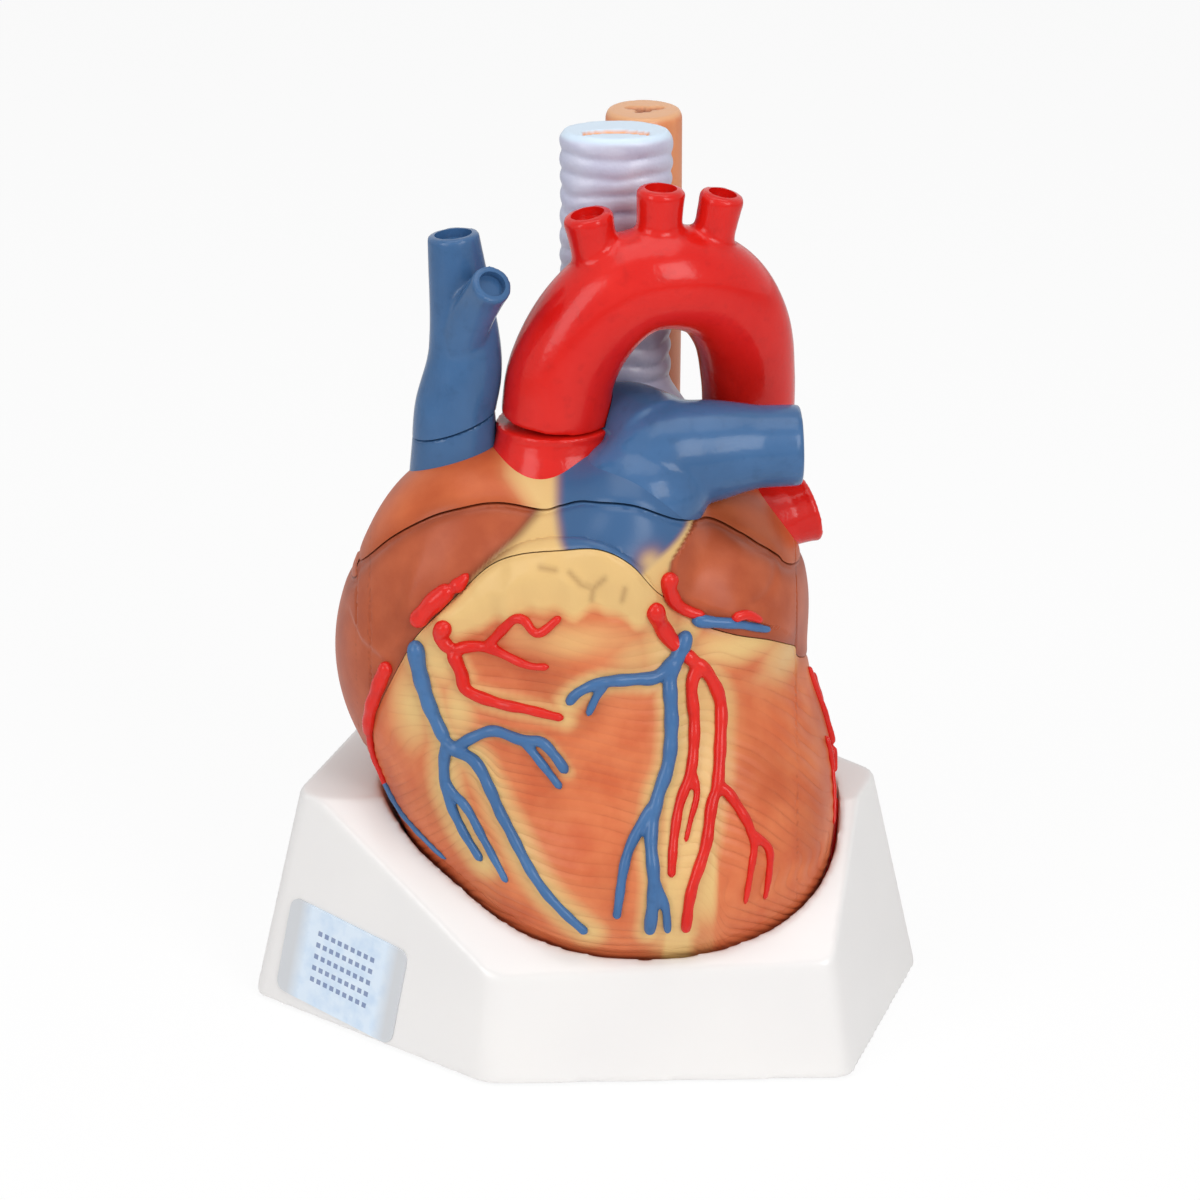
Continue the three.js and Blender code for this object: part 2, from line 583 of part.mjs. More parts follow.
// Everything in front of the line where the front wall parts
function frontZone(back) {
  const low = (y) => topHeight(y) + WALL_LIFT;
  return sidePlate([
    [FRONT_Y, low(FRONT_Y) - back], [BASE_CREASE_Y + back, low(BASE_CREASE_Y) - back],
    [WALL_BACK_Y + back, WALL_BACK_Z - back], [WALL_BACK_Y + back, FAR], [FRONT_Y, FAR],
  ]);
}

const atriumRoom = (room) => ellipsoid(room).intersect(aboveValveLine(ATRIUM_FLOOR));
const hole = (route, radius) => tube(route, [radius, radius], 8, 12);
const hollows = join([
  ellipsoid(LEFT_CHAMBER),
  ellipsoid(RIGHT_CHAMBER),
  atriumRoom(LEFT_ATRIUM),
  atriumRoom(RIGHT_ATRIUM),
  upright(...MITRAL.at, MITRAL.from, MITRAL.to, MITRAL.radius),
  upright(...TRICUSPID.at, TRICUSPID.from, TRICUSPID.to, TRICUSPID.radius),
  hole(AORTIC_WAY, AORTIC_BORE),
  hole(PULMONARY_WAY, PULMONARY_BORE),
  upright(...CAVA_BORE.at, CAVA_BORE.from, CAVA_BORE.to, CAVA_BORE.radius),
]);

// A locating peg, or with grow the hole that it goes into
function pegBar({ middle, axis, half = PEG_HALF }, grow = 0) {
  const reach = half + grow;
  const radius = PEG_RADIUS + grow;
  const ends = [-reach, reach].map((along) => middle.clone().addScaledVector(axis, along));
  return bar(...ends, radius, radius, 8);
}

const up = new THREE.Vector3(0, 0, 1);
const backwards = new THREE.Vector3(0, 1, 0);
const lineHeight = (line, x) => {
  const next = line.findIndex(([px]) => px > x);
  const [x0, z0] = line[next - 1];
  const [x1, z1] = line[next];
  return z0 + ((z1 - z0) * (x - x0)) / (x1 - x0);
};
const wallPegs = WALL_PEGS.map(([x, z]) => (
  { middle: new THREE.Vector3(x, WALL_BACK_Y, z), axis: pullDirection }));
const atriaPegs = ATRIA_PEGS.map(([x, y]) => {
  const z = lineHeight(VALVE_LINE, x) - partingRise * (y - VALVE_LINE_Y);
  return { middle: new THREE.Vector3(x, y, z), axis: up };
});
const roofPegs = ROOF_PEGS.map(([x, y]) => (
  { middle: new THREE.Vector3(x, y, lineHeight(ROOF_LINE, x)), axis: up, half: ROOF_PEG_HALF }));
const oesophagusPegHeights = [TRACHEA_FOOT + OESOPHAGUS_PEG_MARGIN, TRACHEA_TOP - OESOPHAGUS_PEG_MARGIN];
const oesophagusPegs = oesophagusPegHeights.map((z) => {
  const x = (TRACHEA_AT[0] + OESOPHAGUS_AT[0]) / 2;
  const y = (TRACHEA_AT[1] + OESOPHAGUS_AT[1]) / 2;
  return { middle: new THREE.Vector3(x, y, z), axis: backwards };
});
const allPegs = [...wallPegs, ...atriaPegs, ...roofPegs];
const pegHoles = join(allPegs.map((peg) => pegBar(peg, FIT)));

const underRoof = heart.subtract(aboveRoofLine(-SEAM / 2));
const ventricles = heart.subtract(aboveValveLine(-SEAM / 2));
const wallTop = SEAM / 2 - WALL_TOP_GAP;
const insideRim = solid(bodyGeometry(-RIM)).intersect(aboveValveLine(wallTop - RIM_RELIEF));
const wall = ventricles
  .intersect(frontZone(0))
  .subtract(aboveValveLine(wallTop))
  .subtract(insideRim)
  .subtract(hollows)
  .subtract(pegHoles);
const rear = ventricles.subtract(frontZone(SEAM / 2)).subtract(hollows).subtract(pegHoles);
const atria = underRoof.intersect(aboveValveLine(SEAM / 2)).subtract(hollows).subtract(pegHoles);

// Great vessels on the roof
const aortaBase = point(AORTA_ROUTE[0]);
const aortaTube = (grow) => tube(AORTA_ROUTE, AORTA_RADII.map((r) => r + grow), 14, 12);
const pulmonaryTubes = (grow) => tube(PULMONARY_ROUTE, PULMONARY_RADII.map((r) => r + grow), 8, 12)
  .add(tube(RIGHT_PULMONARY_ROUTE, RIGHT_PULMONARY_RADII.map((r) => r + grow), 8, 10));
const collarTop = aortaBase.clone().addScaledVector(up, -SEAM);
const collarFoot = collarTop.clone().addScaledVector(up, -COLLAR_HEIGHT);
const collarCone = (grow, top = collarTop) => (
  bar(collarFoot, top, COLLAR_FOOT_RADIUS + grow, COLLAR_TOP_RADIUS + grow, 14));
const onAortaAxis = (from, to, radius) => (
  upright(aortaBase.x, aortaBase.y, aortaBase.z + from, aortaBase.z + to, radius, 12));
const spigot = (grow) => onAortaAxis(-SPIGOT_LENGTH - grow, SPIGOT_LENGTH, SPIGOT_RADIUS + grow);
const cavaStub = bar(point(CAVA_STUB.foot), point(CAVA_STUB.top), CAVA_STUB.footRadius, CAVA_STUB.topRadius);
const cavaSeam = (shift) => {
  const [[x0, z0], [x1, z1]] = CAVA_SEAM;
  const slope = (z1 - z0) / (x1 - x0);
  const line = CAVA_SEAM_REACH.map((x) => [x, z0 + slope * (x - x0)]);
  return above(line, shift);
};

// The hollow in the open end of a tube
function endBore(route, radii) {
  const end = point(route[route.length - 1]);
  const inward = point(route[route.length - 2]).sub(end).normalize();
  const radius = radii[radii.length - 1] - STUB_WALL;
  const bottom = end.clone().addScaledVector(inward, LUMEN_DEPTH);
  const outside = end.clone().addScaledVector(inward, -LUMEN_DEPTH);
  return bar(bottom, outside, radius, radius, 12);
}

const roof = heart.intersect(aboveRoofLine(SEAM / 2)).subtract(hollows).subtract(pegHoles);
const collar = collarCone(0)
  .subtract(heartGrown)
  .subtract(hollows)
  .subtract(pegHoles)
  .subtract(spigot(FIT));
const pulmonary = pulmonaryTubes(0)
  .intersect(aboveRoofLine(SEAM / 2))
  .subtract(heartGrown)
  .subtract(collarCone(FIT))
  .subtract(aortaTube(FIT))
  .subtract(hollows)
  .subtract(pegHoles)
  .subtract(endBore(PULMONARY_ROUTE, PULMONARY_RADII));
const stub = cavaStub
  .subtract(cavaSeam(-SEAM / 2))
  .subtract(heartGrown)
  .subtract(collarCone(FIT))
  .subtract(hollows);

function openEnd({ from, to, radius }) {
  const lip = bar(point(from), point(to), radius * LIP_ROOT, radius * LIP_END);
  return { lip, lumen: endBore([from, to], [radius]) };
}

function aortaSolid() {
  const ends = AORTA_BRANCHES.map(openEnd);
  return aortaTube(0)
    .add(join(ends.map(({ lip }) => lip)))
    .subtract(collarCone(FIT, aortaBase))
    .add(spigot(0))
    .subtract(join(ends.map(({ lumen }) => lumen)))
    .subtract(onAortaAxis(-SPIGOT_LENGTH - FIT, AORTA_HOLLOW, AORTIC_BORE))
    .subtract(heartGrown);
}

function cavaSolid() {
  return tube(CAVA_ROUTE, CAVA_RADII, 9, 12)
    .add(tube(CAVA_BRANCH_ROUTE, CAVA_BRANCH_RADII, 5, 12))
    .intersect(cavaSeam(SEAM / 2))
    .subtract(endBore(CAVA_ROUTE, CAVA_RADII))
    .subtract(endBore(CAVA_BRANCH_ROUTE, CAVA_BRANCH_RADII))
    .subtract(upright(...CAVA_BORE.at, CAVA_BORE.from, CAVA_BORE.to, CAVA_BORE.radius));
}

function veinStub(vein) {
  const { lip, lumen } = openEnd(vein);
  return lip.subtract(lumen).subtract(heartGrown).subtract(pulmonaryTubes(FIT)).subtract(aortaTube(FIT));
}

// Windpipe and gullet
function tracheaSolid() {
  const profile = [new THREE.Vector2(0, TRACHEA_FOOT)];
  const rings = Math.floor((TRACHEA_TOP - TRACHEA_FOOT) / RING_PITCH);
  const pitch = (TRACHEA_TOP - TRACHEA_FOOT) / rings;
  for (let ring = 0; ring < rings; ring += 1) {
    const z = TRACHEA_FOOT + ring * pitch;
    profile.push(new THREE.Vector2(1 - RING_DEPTH / TRACHEA_HALF[0], z));
    profile.push(new THREE.Vector2(1, z + 0.5 * pitch));
  }
  profile.push(new THREE.Vector2(0.94, TRACHEA_TOP), new THREE.Vector2(0, TRACHEA_TOP));
  const stack = new THREE.LatheGeometry(profile, 10).rotateX(Math.PI / 2);
  stack.scale(TRACHEA_HALF[0], TRACHEA_HALF[1], 1);
  stack.translate(TRACHEA_AT[0], TRACHEA_AT[1], 0);
  const slit = new THREE.CylinderGeometry(1, 1, 2 * LUMEN_DEPTH, 14).rotateX(Math.PI / 2);
  slit.scale(SLIT_HALF[0], SLIT_HALF[1], 1).translate(TRACHEA_AT[0], TRACHEA_AT[1] + SLIT_SHIFT, TRACHEA_TOP);
  const { shift, from, to, radius } = TRACHEA_POST;
  const post = upright(TRACHEA_AT[0], TRACHEA_AT[1] + shift, from, to, radius, 10);
  return solid(stack)
    .add(tube(LEFT_BRONCHUS, BRONCHUS_RADII, 5, 12))
    .add(tube(RIGHT_BRONCHUS, BRONCHUS_RADII, 5, 12))
    .add(post)
    .subtract(solid(slit));
}

const trachea = tracheaSolid()
  .subtract(heartGrown)
  .subtract(pulmonaryTubes(FIT))
  .subtract(join(oesophagusPegs.map((peg) => pegBar(peg, FIT))));

const { radius: lumenRadius, depth: lumenDepth } = OESOPHAGUS_LUMEN;
const lumenEnds = [OESOPHAGUS_TOP - lumenDepth, OESOPHAGUS_TOP + lumenDepth];
const oesophagus = upright(...OESOPHAGUS_AT, OESOPHAGUS_FOOT, OESOPHAGUS_TOP, OESOPHAGUS_RADIUS, 18)
  .subtract(upright(...OESOPHAGUS_AT, ...lumenEnds, lumenRadius, 10))
  .subtract(join(oesophagusPegs.map((peg) => pegBar(peg, FIT))))
  .subtract(heartGrown);

// Valves and papillary muscles
function valve({ at: [x, y], radius, leaflets }) {
  const floor = lineHeight(VALVE_LINE, x) - partingRise * (y - VALVE_LINE_Y);
  const z = floor + ATRIUM_FLOOR / 2 + SEAM / 4;
  const outer = radius - FIT;
  const mouth = outer - VALVE_RING;
  const tip = outer / 2;
  const profile = [
    [mouth, VALVE_RIM], [mouth - VALVE_WALL, -VALVE_RIM / 2], [tip - VALVE_WALL, -VALVE_SKIRT],
    [tip, -VALVE_SKIRT], [outer - VALVE_RING / 2, -VALVE_RIM], [outer, -VALVE_RIM], [outer, VALVE_RIM],
    [mouth, VALVE_RIM],
  ];
  const ring = new THREE.LatheGeometry(profile.map(([r, h]) => new THREE.Vector2(r, h)), 18);
  ring.rotateX(Math.PI / 2).translate(x, y, z);
  let body = solid(ring);
  for (let k = 0; k < leaflets; k += 1) {
    const slot = new THREE.BoxGeometry(2 * radius, VALVE_SLOT, VALVE_SKIRT);
    slot.translate(radius, 0, -VALVE_SKIRT / 2 - VALVE_SLOT_TOP);
    slot.rotateZ((2 * Math.PI * (k + 0.2)) / leaflets).translate(x, y, z);
    body = body.subtract(solid(slot));
  }
  return body;
}

function papillary({ foot, tip }, chamber) {
  return tube([foot, tip], MUSCLE_RADII, 5, 10)
    .intersect(ellipsoid(chamber, -FIT))
    .subtract(frontZone(MUSCLE_CLEARANCE));
}

// Assembly
const model = new THREE.Group();

function place(name, shape, colour) {
  const [hex, roughness] = COLOURS[colour];
  const metalness = colour === 'steel' ? 1 : 0;
  const material = new THREE.MeshStandardMaterial({ color: hex, roughness, metalness });
  const mesh = new THREE.Mesh(geometryOf(shape), material);
  mesh.name = name;
  model.add(mesh);
}

place('stand_shell', baseShell(), 'base');
footPlaces.forEach(([x, y], i) => {
  place(`stand_foot_${i + 1}`, upright(x, y, 0, FOOT_THICKNESS, FOOT_RADIUS, 12), 'rubber');
});
place('stand_label', labelPlate(), 'label');

place('rear_ventricle_casting', rear, 'muscle');
place('front_heart_wall', wall, 'muscle');
place('atria_casting', atria, 'atrium');
place('atrial_roof_casting', roof, 'roof');

const onSkin = (branches, side) => skinVessels(branches, side).subtract(heartGrown);
const veinGrown = skinVessels(GREAT_VEIN, 'front', FIT);
place('great_cardiac_vein', onSkin(GREAT_VEIN), 'blue');
place('anterior_artery_root', onSkin(ANTERIOR_ROOT).subtract(veinGrown), 'red');
place('anterior_descending_artery', onSkin(ANTERIOR_ARTERY).subtract(veinGrown), 'red');
place('anterior_cardiac_vein', onSkin(ANTERIOR_VEIN), 'blue');
place('right_marginal_artery', onSkin(MARGINAL_ARTERY), 'red');
place('groove_artery', onSkin(GROOVE_ARTERY), 'red');
place('right_coronary_root', onSkin(ARTERY_ROOT), 'red');
place('left_coronary_root', onSkin(AURICLE_ARTERY), 'red');
place('cardiac_vein_arm', onSkin(VEIN_ARM), 'blue');
place('posterior_descending_artery', onSkin(REAR_ARTERY, 'back'), 'red');
place('middle_cardiac_vein', onSkin(REAR_VEIN, 'back'), 'blue');
place('left_edge_artery', onSkin(EDGE_ARTERY, 'side'), 'red');
place('left_edge_vein', onSkin(EDGE_VEIN, 'side'), 'blue');

place('mitral_valve', valve(MITRAL), 'valve');
place('tricuspid_valve', valve(TRICUSPID), 'valve');
place('mitral_papillary_muscle', papillary(MITRAL_MUSCLE, LEFT_CHAMBER), 'chamber');
place('tricuspid_papillary_muscle', papillary(TRICUSPID_MUSCLE, RIGHT_CHAMBER), 'chamber');

const placePegs = (pegs, name) => pegs.forEach((peg, i) => place(`${name}_${i + 1}`, pegBar(peg), 'steel'));
placePegs(wallPegs, 'front_wall_peg');
placePegs(atriaPegs, 'atria_peg');
placePegs(roofPegs, 'roof_peg');
placePegs(oesophagusPegs, 'oesophagus_peg');

place('aortic_collar', collar, 'red');
place('pulmonary_trunk', pulmonary, 'blue');
place('vena_cava_stub', stub, 'blue');
PULMONARY_VEINS.forEach((vein) => place(vein.name, veinStub(vein).intersect(aboveRoofLine(SEAM / 2)), 'red'));
LOWER_VEINS.forEach((vein) => place(vein.name, veinStub(vein).subtract(aboveRoofLine(-SEAM / 2)), 'red'));
place('upper_vena_cava', cavaSolid(), 'blue');
place('aortic_arch', aortaSolid(), 'red');
place('trachea', trachea, 'airway');
place('oesophagus', oesophagus, 'gullet');

export default model;
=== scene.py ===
import math

import bmesh
import bpy
import numpy as np
from mathutils import Matrix, Vector, noise

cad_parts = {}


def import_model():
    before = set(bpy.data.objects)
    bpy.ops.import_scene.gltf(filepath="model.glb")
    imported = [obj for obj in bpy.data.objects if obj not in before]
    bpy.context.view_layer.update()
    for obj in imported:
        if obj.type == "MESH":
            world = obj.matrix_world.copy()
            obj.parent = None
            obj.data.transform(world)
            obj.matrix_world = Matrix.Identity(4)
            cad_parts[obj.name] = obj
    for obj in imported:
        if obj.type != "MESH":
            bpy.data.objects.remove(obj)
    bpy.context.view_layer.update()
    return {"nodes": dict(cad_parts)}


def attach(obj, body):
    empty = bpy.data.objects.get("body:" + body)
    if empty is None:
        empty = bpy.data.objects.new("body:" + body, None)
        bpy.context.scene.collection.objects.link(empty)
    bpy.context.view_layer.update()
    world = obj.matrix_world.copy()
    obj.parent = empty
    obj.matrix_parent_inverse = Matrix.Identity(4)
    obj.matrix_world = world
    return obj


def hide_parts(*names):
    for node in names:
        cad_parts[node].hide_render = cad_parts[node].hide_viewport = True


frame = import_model()

MM = 0.001
FAR = 400.0
BLUE_PAINT = "#3A5E88"

# Heart body: lobes that melt together, by middle and half sizes
HEART_MIDDLE = np.array((0.0, -12.0, 110.0))
BLEND = 7
LOBES = {
    "left ventricle": ((19, -13, 88), (67, 53, 62)),
    "right ventricle": ((-28, -18, 92), (42, 45, 50)),
    "apex": ((38, -40, 76), (44, 38, 47)),
    "front": ((4, -33, 120), (50, 37, 48)),
    "right atrium": ((-49, -6, 130), (41, 46, 50)),
    "left atrium": ((32, -4, 150), (46, 45, 47)),
    "roof right": ((-39, -17, 160), (39, 37, 48)),
    "roof middle": ((-4, -20, 160), (44, 38, 48)),
    "pulmonary foot": ((14, -37, 184), (23, 27, 29)),
    "low front": ((18, -44, 63), (59, 45, 37)),
}
# Broad swellings of the front: x, height, reach, how high
SWELLINGS = [(-6, 166, 26, 8), (58, 160, 24, 8)]
SKIN_DETAIL = 8  # times an icosahedron's faces are split in four

# Lines where the castings part, in x and height at the front
ROOF_LINE = [
    (-130, 120), (-86, 158), (-81, 167), (-69, 182), (-55, 192), (-42, 196.5), (-31, 198), (-16, 197),
    (-9, 199), (1, 202.5), (17, 202.5), (35, 193.5), (53, 183.5), (66, 174), (76, 164), (130, 120),
]
VALVE_LINE = [
    (-130, 96), (-81, 104), (-77, 117), (-73, 127), (-69, 136), (-64, 146), (-58, 156), (-42, 173),
    (-33, 181.5), (-23, 186), (-9, 188), (4, 189), (15, 183.5), (25, 171.5), (38, 160.5), (50, 155.5),
    (64, 151.5), (73, 146), (80, 138), (130, 126),
]
VALVE_LINE_Y = -60
PARTING_RISE = math.tan(math.radians(12))  # of the faces between front wall and atria
SEAM = 0.8
VALVE_SEAM = 0.45
SIDE_SEAM = 0.12
SEAM_ROLL = 2.2  # width of the rolled edge beside a seam
ROOF_SEAM_DEPTH = 1.1
VALVE_SEAM_DEPTH = 0.6
SIDE_SEAM_DEPTH = 0.1
WALL_PROFILE = [(-29, 83), (-12, 100)]  # where the front wall ends at the back, in y and height
BASE_REAR_HEIGHT = 80
BASE_CREASE_Y = -29
BASE_TOP_SLOPE = 40 / 62

# Chambers, by middle and half sizes
LEFT_CHAMBER = ((40, -14, 92), (30, 32, 50))
RIGHT_CHAMBER = ((-28, -20, 100), (32, 40, 42))
LEFT_ATRIUM = ((44, 4, 166), (25, 26, 26))
RIGHT_ATRIUM = ((-52, -4, 164), (23, 27, 33))

# Fat pad at the top of the front wall: its lower edge in x and height
FAT_EDGE = [
    (-60, 160), (-50, 156), (-42, 156), (-33, 160), (-23, 166), (-9, 167), (4, 168), (14, 165),
    (22, 158), (28, 158),
]
FAT_HEIGHT = 3.8
FAT_BROW = 7  # how far below the seam the fat pad reaches its full height
FAT_CRACKS = [
    ((-6, 182), (-2, 178)), ((-2, 178), (2, 176.5)), ((2, 176.5), (6, 181)), ((2, 176.5), (1.5, 172)),
    ((-16, 183), (-11, 182.5)), ((12, 172), (13, 177)),
]
CRACK_WIDTH = 1.1
# Edge of the right auricle's flap, in x and height
APPENDAGE_EDGE = [(-90, 150), (-84, 152), (-79, 145), (-72, 142), (-66, 147), (-60, 158), (-54, 168)]
# Edges of the paint between the atria, in height and x
ATRIUM_EDGE = [
    (160, -50), (172, -43), (182, -33), (190, -24), (197, -17), (200, -20), (205, -25), (212, -26),
]
BLUE_LEFT_EDGE = [
    (176, 8), (179, 5), (182, 0), (185, -4), (188, -7), (192, -9.5), (197, -10.5), (215, -10.5),
]
BLUE_RIGHT_EDGE = [(170, 8), (178, 14), (182, 20), (186, 25.5), (190, 31), (194, 36), (197, 41), (200, 60)]
BLUE_WORN_SPOT = (21.5, 185, 4.5)  # x, height and reach of the place where cream shows through the blue
AURICLE_EDGE = [
    (156, 44), (160, 37), (166, 31), (171, 28.5), (176, 28), (183, 29), (189, 34), (193, 38), (197, 46),
]
# Muscle wrinkles
WRINKLE_PITCH = 3.7
WRINKLE_RELIEF = 0.5  # of the folds in the mesh, where they are deepest
FOLD_DEPTH = 0.3  # of the soft shading of the folds
GROOVE_DEPTH = 0.22  # of the thin groove in each fold
FOLD_SHARPNESS = 1.3
GROOVE_SHARPNESS = 2.2
# Cream airbrushing on the muscle: x, height, reach in x and in height, strength
CREAM_SPOTS = [
    (-52, 148, 9, 13, 1.0), (-62, 126, 7, 16, 0.85), (-45, 128, 6, 14, 0.8), (52, 150, 17, 6.5, 0.95),
    (70, 140, 9, 10, 0.75), (26, 152, 8, 12, 0.85), (30, 60, 10, 16, 0.8), (66, 136, 10, 5, 0.4),
    (-6, 158, 26, 7, 0.5), (18, 150, 12, 10, 0.45),
]

# Vessels on the muscle: radius at the start and at the end, and the route in x and height from the front
GREAT_VEIN = [
    (3.2, 2.7, [(34.5, 157), (32, 150), (28, 142.5)]),
    (2.7, 2.3, [(31, 148), (28.5, 141), (29, 127), (28, 113), (24, 101), (22, 89), (23, 74), (21.5, 55)]),
    (2.7, 1.8, [(31, 148), (24, 142.5), (16, 142.5), (5, 142.5), (-3, 139), (-7, 134)]),
    (1.9, 1.3, [(6, 142), (3, 137), (0, 130)]),
    (2.3, 1.6, [(25, 102), (18, 92), (13, 81), (10, 61)]),
    (2.0, 1.4, [(23, 76), (27, 66), (28, 55)]),
]
ANTERIOR_ROOT = [(3.4, 2.9, [(22.5, 169.5), (24.5, 162), (28, 155), (33, 150)])]
ANTERIOR_ARTERY = [
    (2.7, 2.5, [(33, 150), (36.5, 146.5), (39, 144)]),
    (2.4, 1.7, [(38.5, 146), (36, 138), (37, 125), (36, 111), (32, 100), (30, 89), (29, 76)]),
    (1.6, 0.9, [(36, 111), (38, 103), (36, 95), (34, 87)]),
    (2.5, 2.0, [
        (37, 147), (42, 141), (46, 131), (46, 118), (45, 105), (43, 99), (41, 86), (36, 71), (34, 55),
    ]),
    (2.2, 1.7, [(44, 106), (49, 102), (55, 93), (58, 86)]),
    (1.7, 1.0, [(56, 91), (58, 84), (57, 76), (55, 63)]),
    (1.9, 1.0, [(57, 88), (63, 82), (63.5, 74), (62, 63)]),
]
MARGINAL_ARTERY = [
    (3.4, 2.7, [(-48, 160), (-50.5, 154), (-47, 148.5)]),
    (2.7, 1.6, [(-47, 149), (-43.5, 141), (-41.5, 135), (-31, 132), (-20, 131), (-8, 129)]),
    (2.4, 1.3, [(-47, 149), (-40, 151), (-33, 151), (-21, 147.5), (-13, 148)]),
    (2.0, 1.6, [(-35, 151), (-29, 159), (-25, 163.5), (-21.5, 163.5), (-17, 159.5), (-9, 166)]),
]
ANTERIOR_VEIN = [
    (3.3, 2.4, [(-59.5, 151), (-59, 144.5), (-57.5, 137), (-54.5, 127), (-49, 115)]),
    (2.4, 1.7, [(-50, 117), (-47, 113.5), (-39, 110), (-34, 101), (-29, 90), (-17, 71), (0, 54)]),
    (2.2, 1.9, [(-47, 113), (-39, 119), (-32, 122), (-23, 120), (-16, 120), (-11, 115), (-7, 109)]),
    (1.9, 1.4, [(-22, 120), (-15, 111), (-9, 103)]),
    (2.3, 1.6, [(-49, 116), (-50, 104), (-48, 93), (-43, 82), (-37, 73)]),
    (1.9, 1.4, [(-50, 101), (-47, 97), (-42, 92), (-36, 81), (-28, 68)]),
]
RIGHT_ROOT = [
    (1.4, 3.4, [(-41, 176.5), (-44, 172.5), (-47, 170.5)]),
    (3.9, 3.2, [(-46.5, 171), (-51, 167), (-56, 161.5), (-60, 156)]),
]
AURICLE_ARTERY = [
    (3.6, 1.6, [(28.6, 179), (28, 173), (30.5, 166.5), (35.5, 163), (41, 161.7)]),
    (2.2, 1.4, [(50, 160.3), (55, 161), (61, 157.5)]),
]
VEIN_ARM = [(2.5, 1.4, [(36, 160.3), (46, 159), (54, 157.2), (64, 152.8)])]
REAR_ARTERY = [
    (2.7, 1.8, [(-6, 148), (-4, 121), (4, 97), (12, 92)]),
    (2.1, 1.4, [(-4, 121), (-19, 106), (-30, 93)]),
]
REAR_VEIN = [
    (3.2, 2.0, [(8, 146), (10, 124), (20, 104), (26, 90)]),
    (2.4, 1.6, [(10, 126), (26, 116), (38, 98)]),
]
EDGE_ARTERY = [(2.0, 1.2, [(-3, 118), (-4, 106), (-5, 92)])]
EDGE_VEIN = [(2.0, 1.2, [(6, 117), (6, 104), (4, 91)])]
# Vessels along the sides of the heart, through points near its skin: radii, and x, y and height
GROOVE_ARTERY = [
    (2.9, 2.2, [(-66, -47, 139), (-70, -44, 128), (-73, -40, 118), (-76, -36, 108)]),
    (1.5, 1.2, [(-75.5, -37, 110), (-77, -32, 96), (-75, -32, 84)]),
]
RIGHT_EDGE_ARTERY = [
    (1.2, 1.7, [(80, -16, 126), (84, -17, 112), (88, -19, 96)]),
    (1.7, 1.4, [(88, -19, 96), (87, -22, 87)]),
    (1.3, 0.8, [(83, -27, 104), (82, -30, 92), (77, -38, 79)]),
]
LOW_EDGE_ARTERY = [(1.4, 1.2, [(86, -25, 80), (78, -38, 64), (70, -48, 53)])]
LOWER_EDGE_VEIN = [(1.3, 1.0, [(-73, -30, 88), (-70, -38, 80), (-62, -48, 74), (-50, -56, 68)])]
VESSEL_VOXEL = 0.55
BORE_VOXEL = 1.2
VESSEL_STEP = 1.4

# Great vessels
AORTA_ROUTE = [
    (-11.2, -12, 218.5), (-9, -12, 236), (0, -12, 254), (14, -11, 267), (30, -8, 269.5), (45, 0, 262),
    (54, 8, 246), (57, 15, 226), (57.5, 20, 205), (57.5, 24, 181),
]
AORTA_RADII = [19.5, 19, 18.8, 18.6, 18.4, 18, 17.4, 16.8, 16.5, 16.2]
AORTA_BRANCHES = [
    ((6, -11, 262), (0, -13, 294), 8.3),
    ((24, -9, 268), (25.5, -9, 302), 8.0),
    ((40, -4, 264), (47, -5, 299), 7.4),
]
# Collar under the arch: heights and radii
COLLAR_PROFILE = [
    (186, 28), (196, 28), (201, 27), (204, 25.6), (207.5, 24), (211, 22), (215.5, 20.8), (217.1, 21.2),
    (217.7, 20.8),
]
PULMONARY_ROUTE = [
    (10, -33, 188), (18, -30, 200), (27, -27, 209.5), (38, -25, 210.5), (54, -24, 212), (75, -23, 212.5),
]
PULMONARY_RADII = [21, 19, 19.2, 18, 14.6, 14.3]
PULMONARY_NECK = ((19, -31, 199), (24, 24, 20))  # middle and half sizes of the trunk's swelling
RIGHT_PULMONARY_ROUTE = [
    (26, -25, 211.5), (20, -14, 213), (11, -3, 213.5), (2, 9, 207), (-22, 21, 196), (-56, 18, 189),
]
RIGHT_PULMONARY_RADII = [19, 16, 12.5, 11, 10.5, 10]
TRUNK_CLEARANCE = 0.6  # between the trunk and the aorta's foot
CAVA_ROUTE = [(-47, -12, 208), (-46.5, -12, 222), (-42.8, -12, 244), (-46.5, -11, 286)]
CAVA_RADII = [15, 13.8, 11.3, 9]
CAVA_BRANCH_ROUTE = [(-45, -13, 238), (-42, -19, 254), (-36, -27, 268), (-32.5, -33, 275)]
CAVA_BRANCH_RADII = [10, 8.2, 7.4, 7.2]
CAVA_SEAM = [(-62, 212), (-31, 222.5)]
CAVA_STUB = {"foot": (-47, -10, 188), "top": (-46.5, -12, 230), "foot radius": 17, "top radius": 13.4}
PULMONARY_VEINS = {
    "pulmonary_vein_left_upper": ((60, 0, 173), (80, 6, 178), 11),
    "pulmonary_vein_left_lower": ((48, 18, 158), (68, 44, 158), 10),
    "pulmonary_vein_right_upper": ((-46, 14, 156), (-62, 40, 156), 9),
    "pulmonary_vein_right_lower": ((-30, 20, 160), (-42, 48, 160), 9),
}
STUB_WALL = 2.4
LUMEN_DEPTH = 3

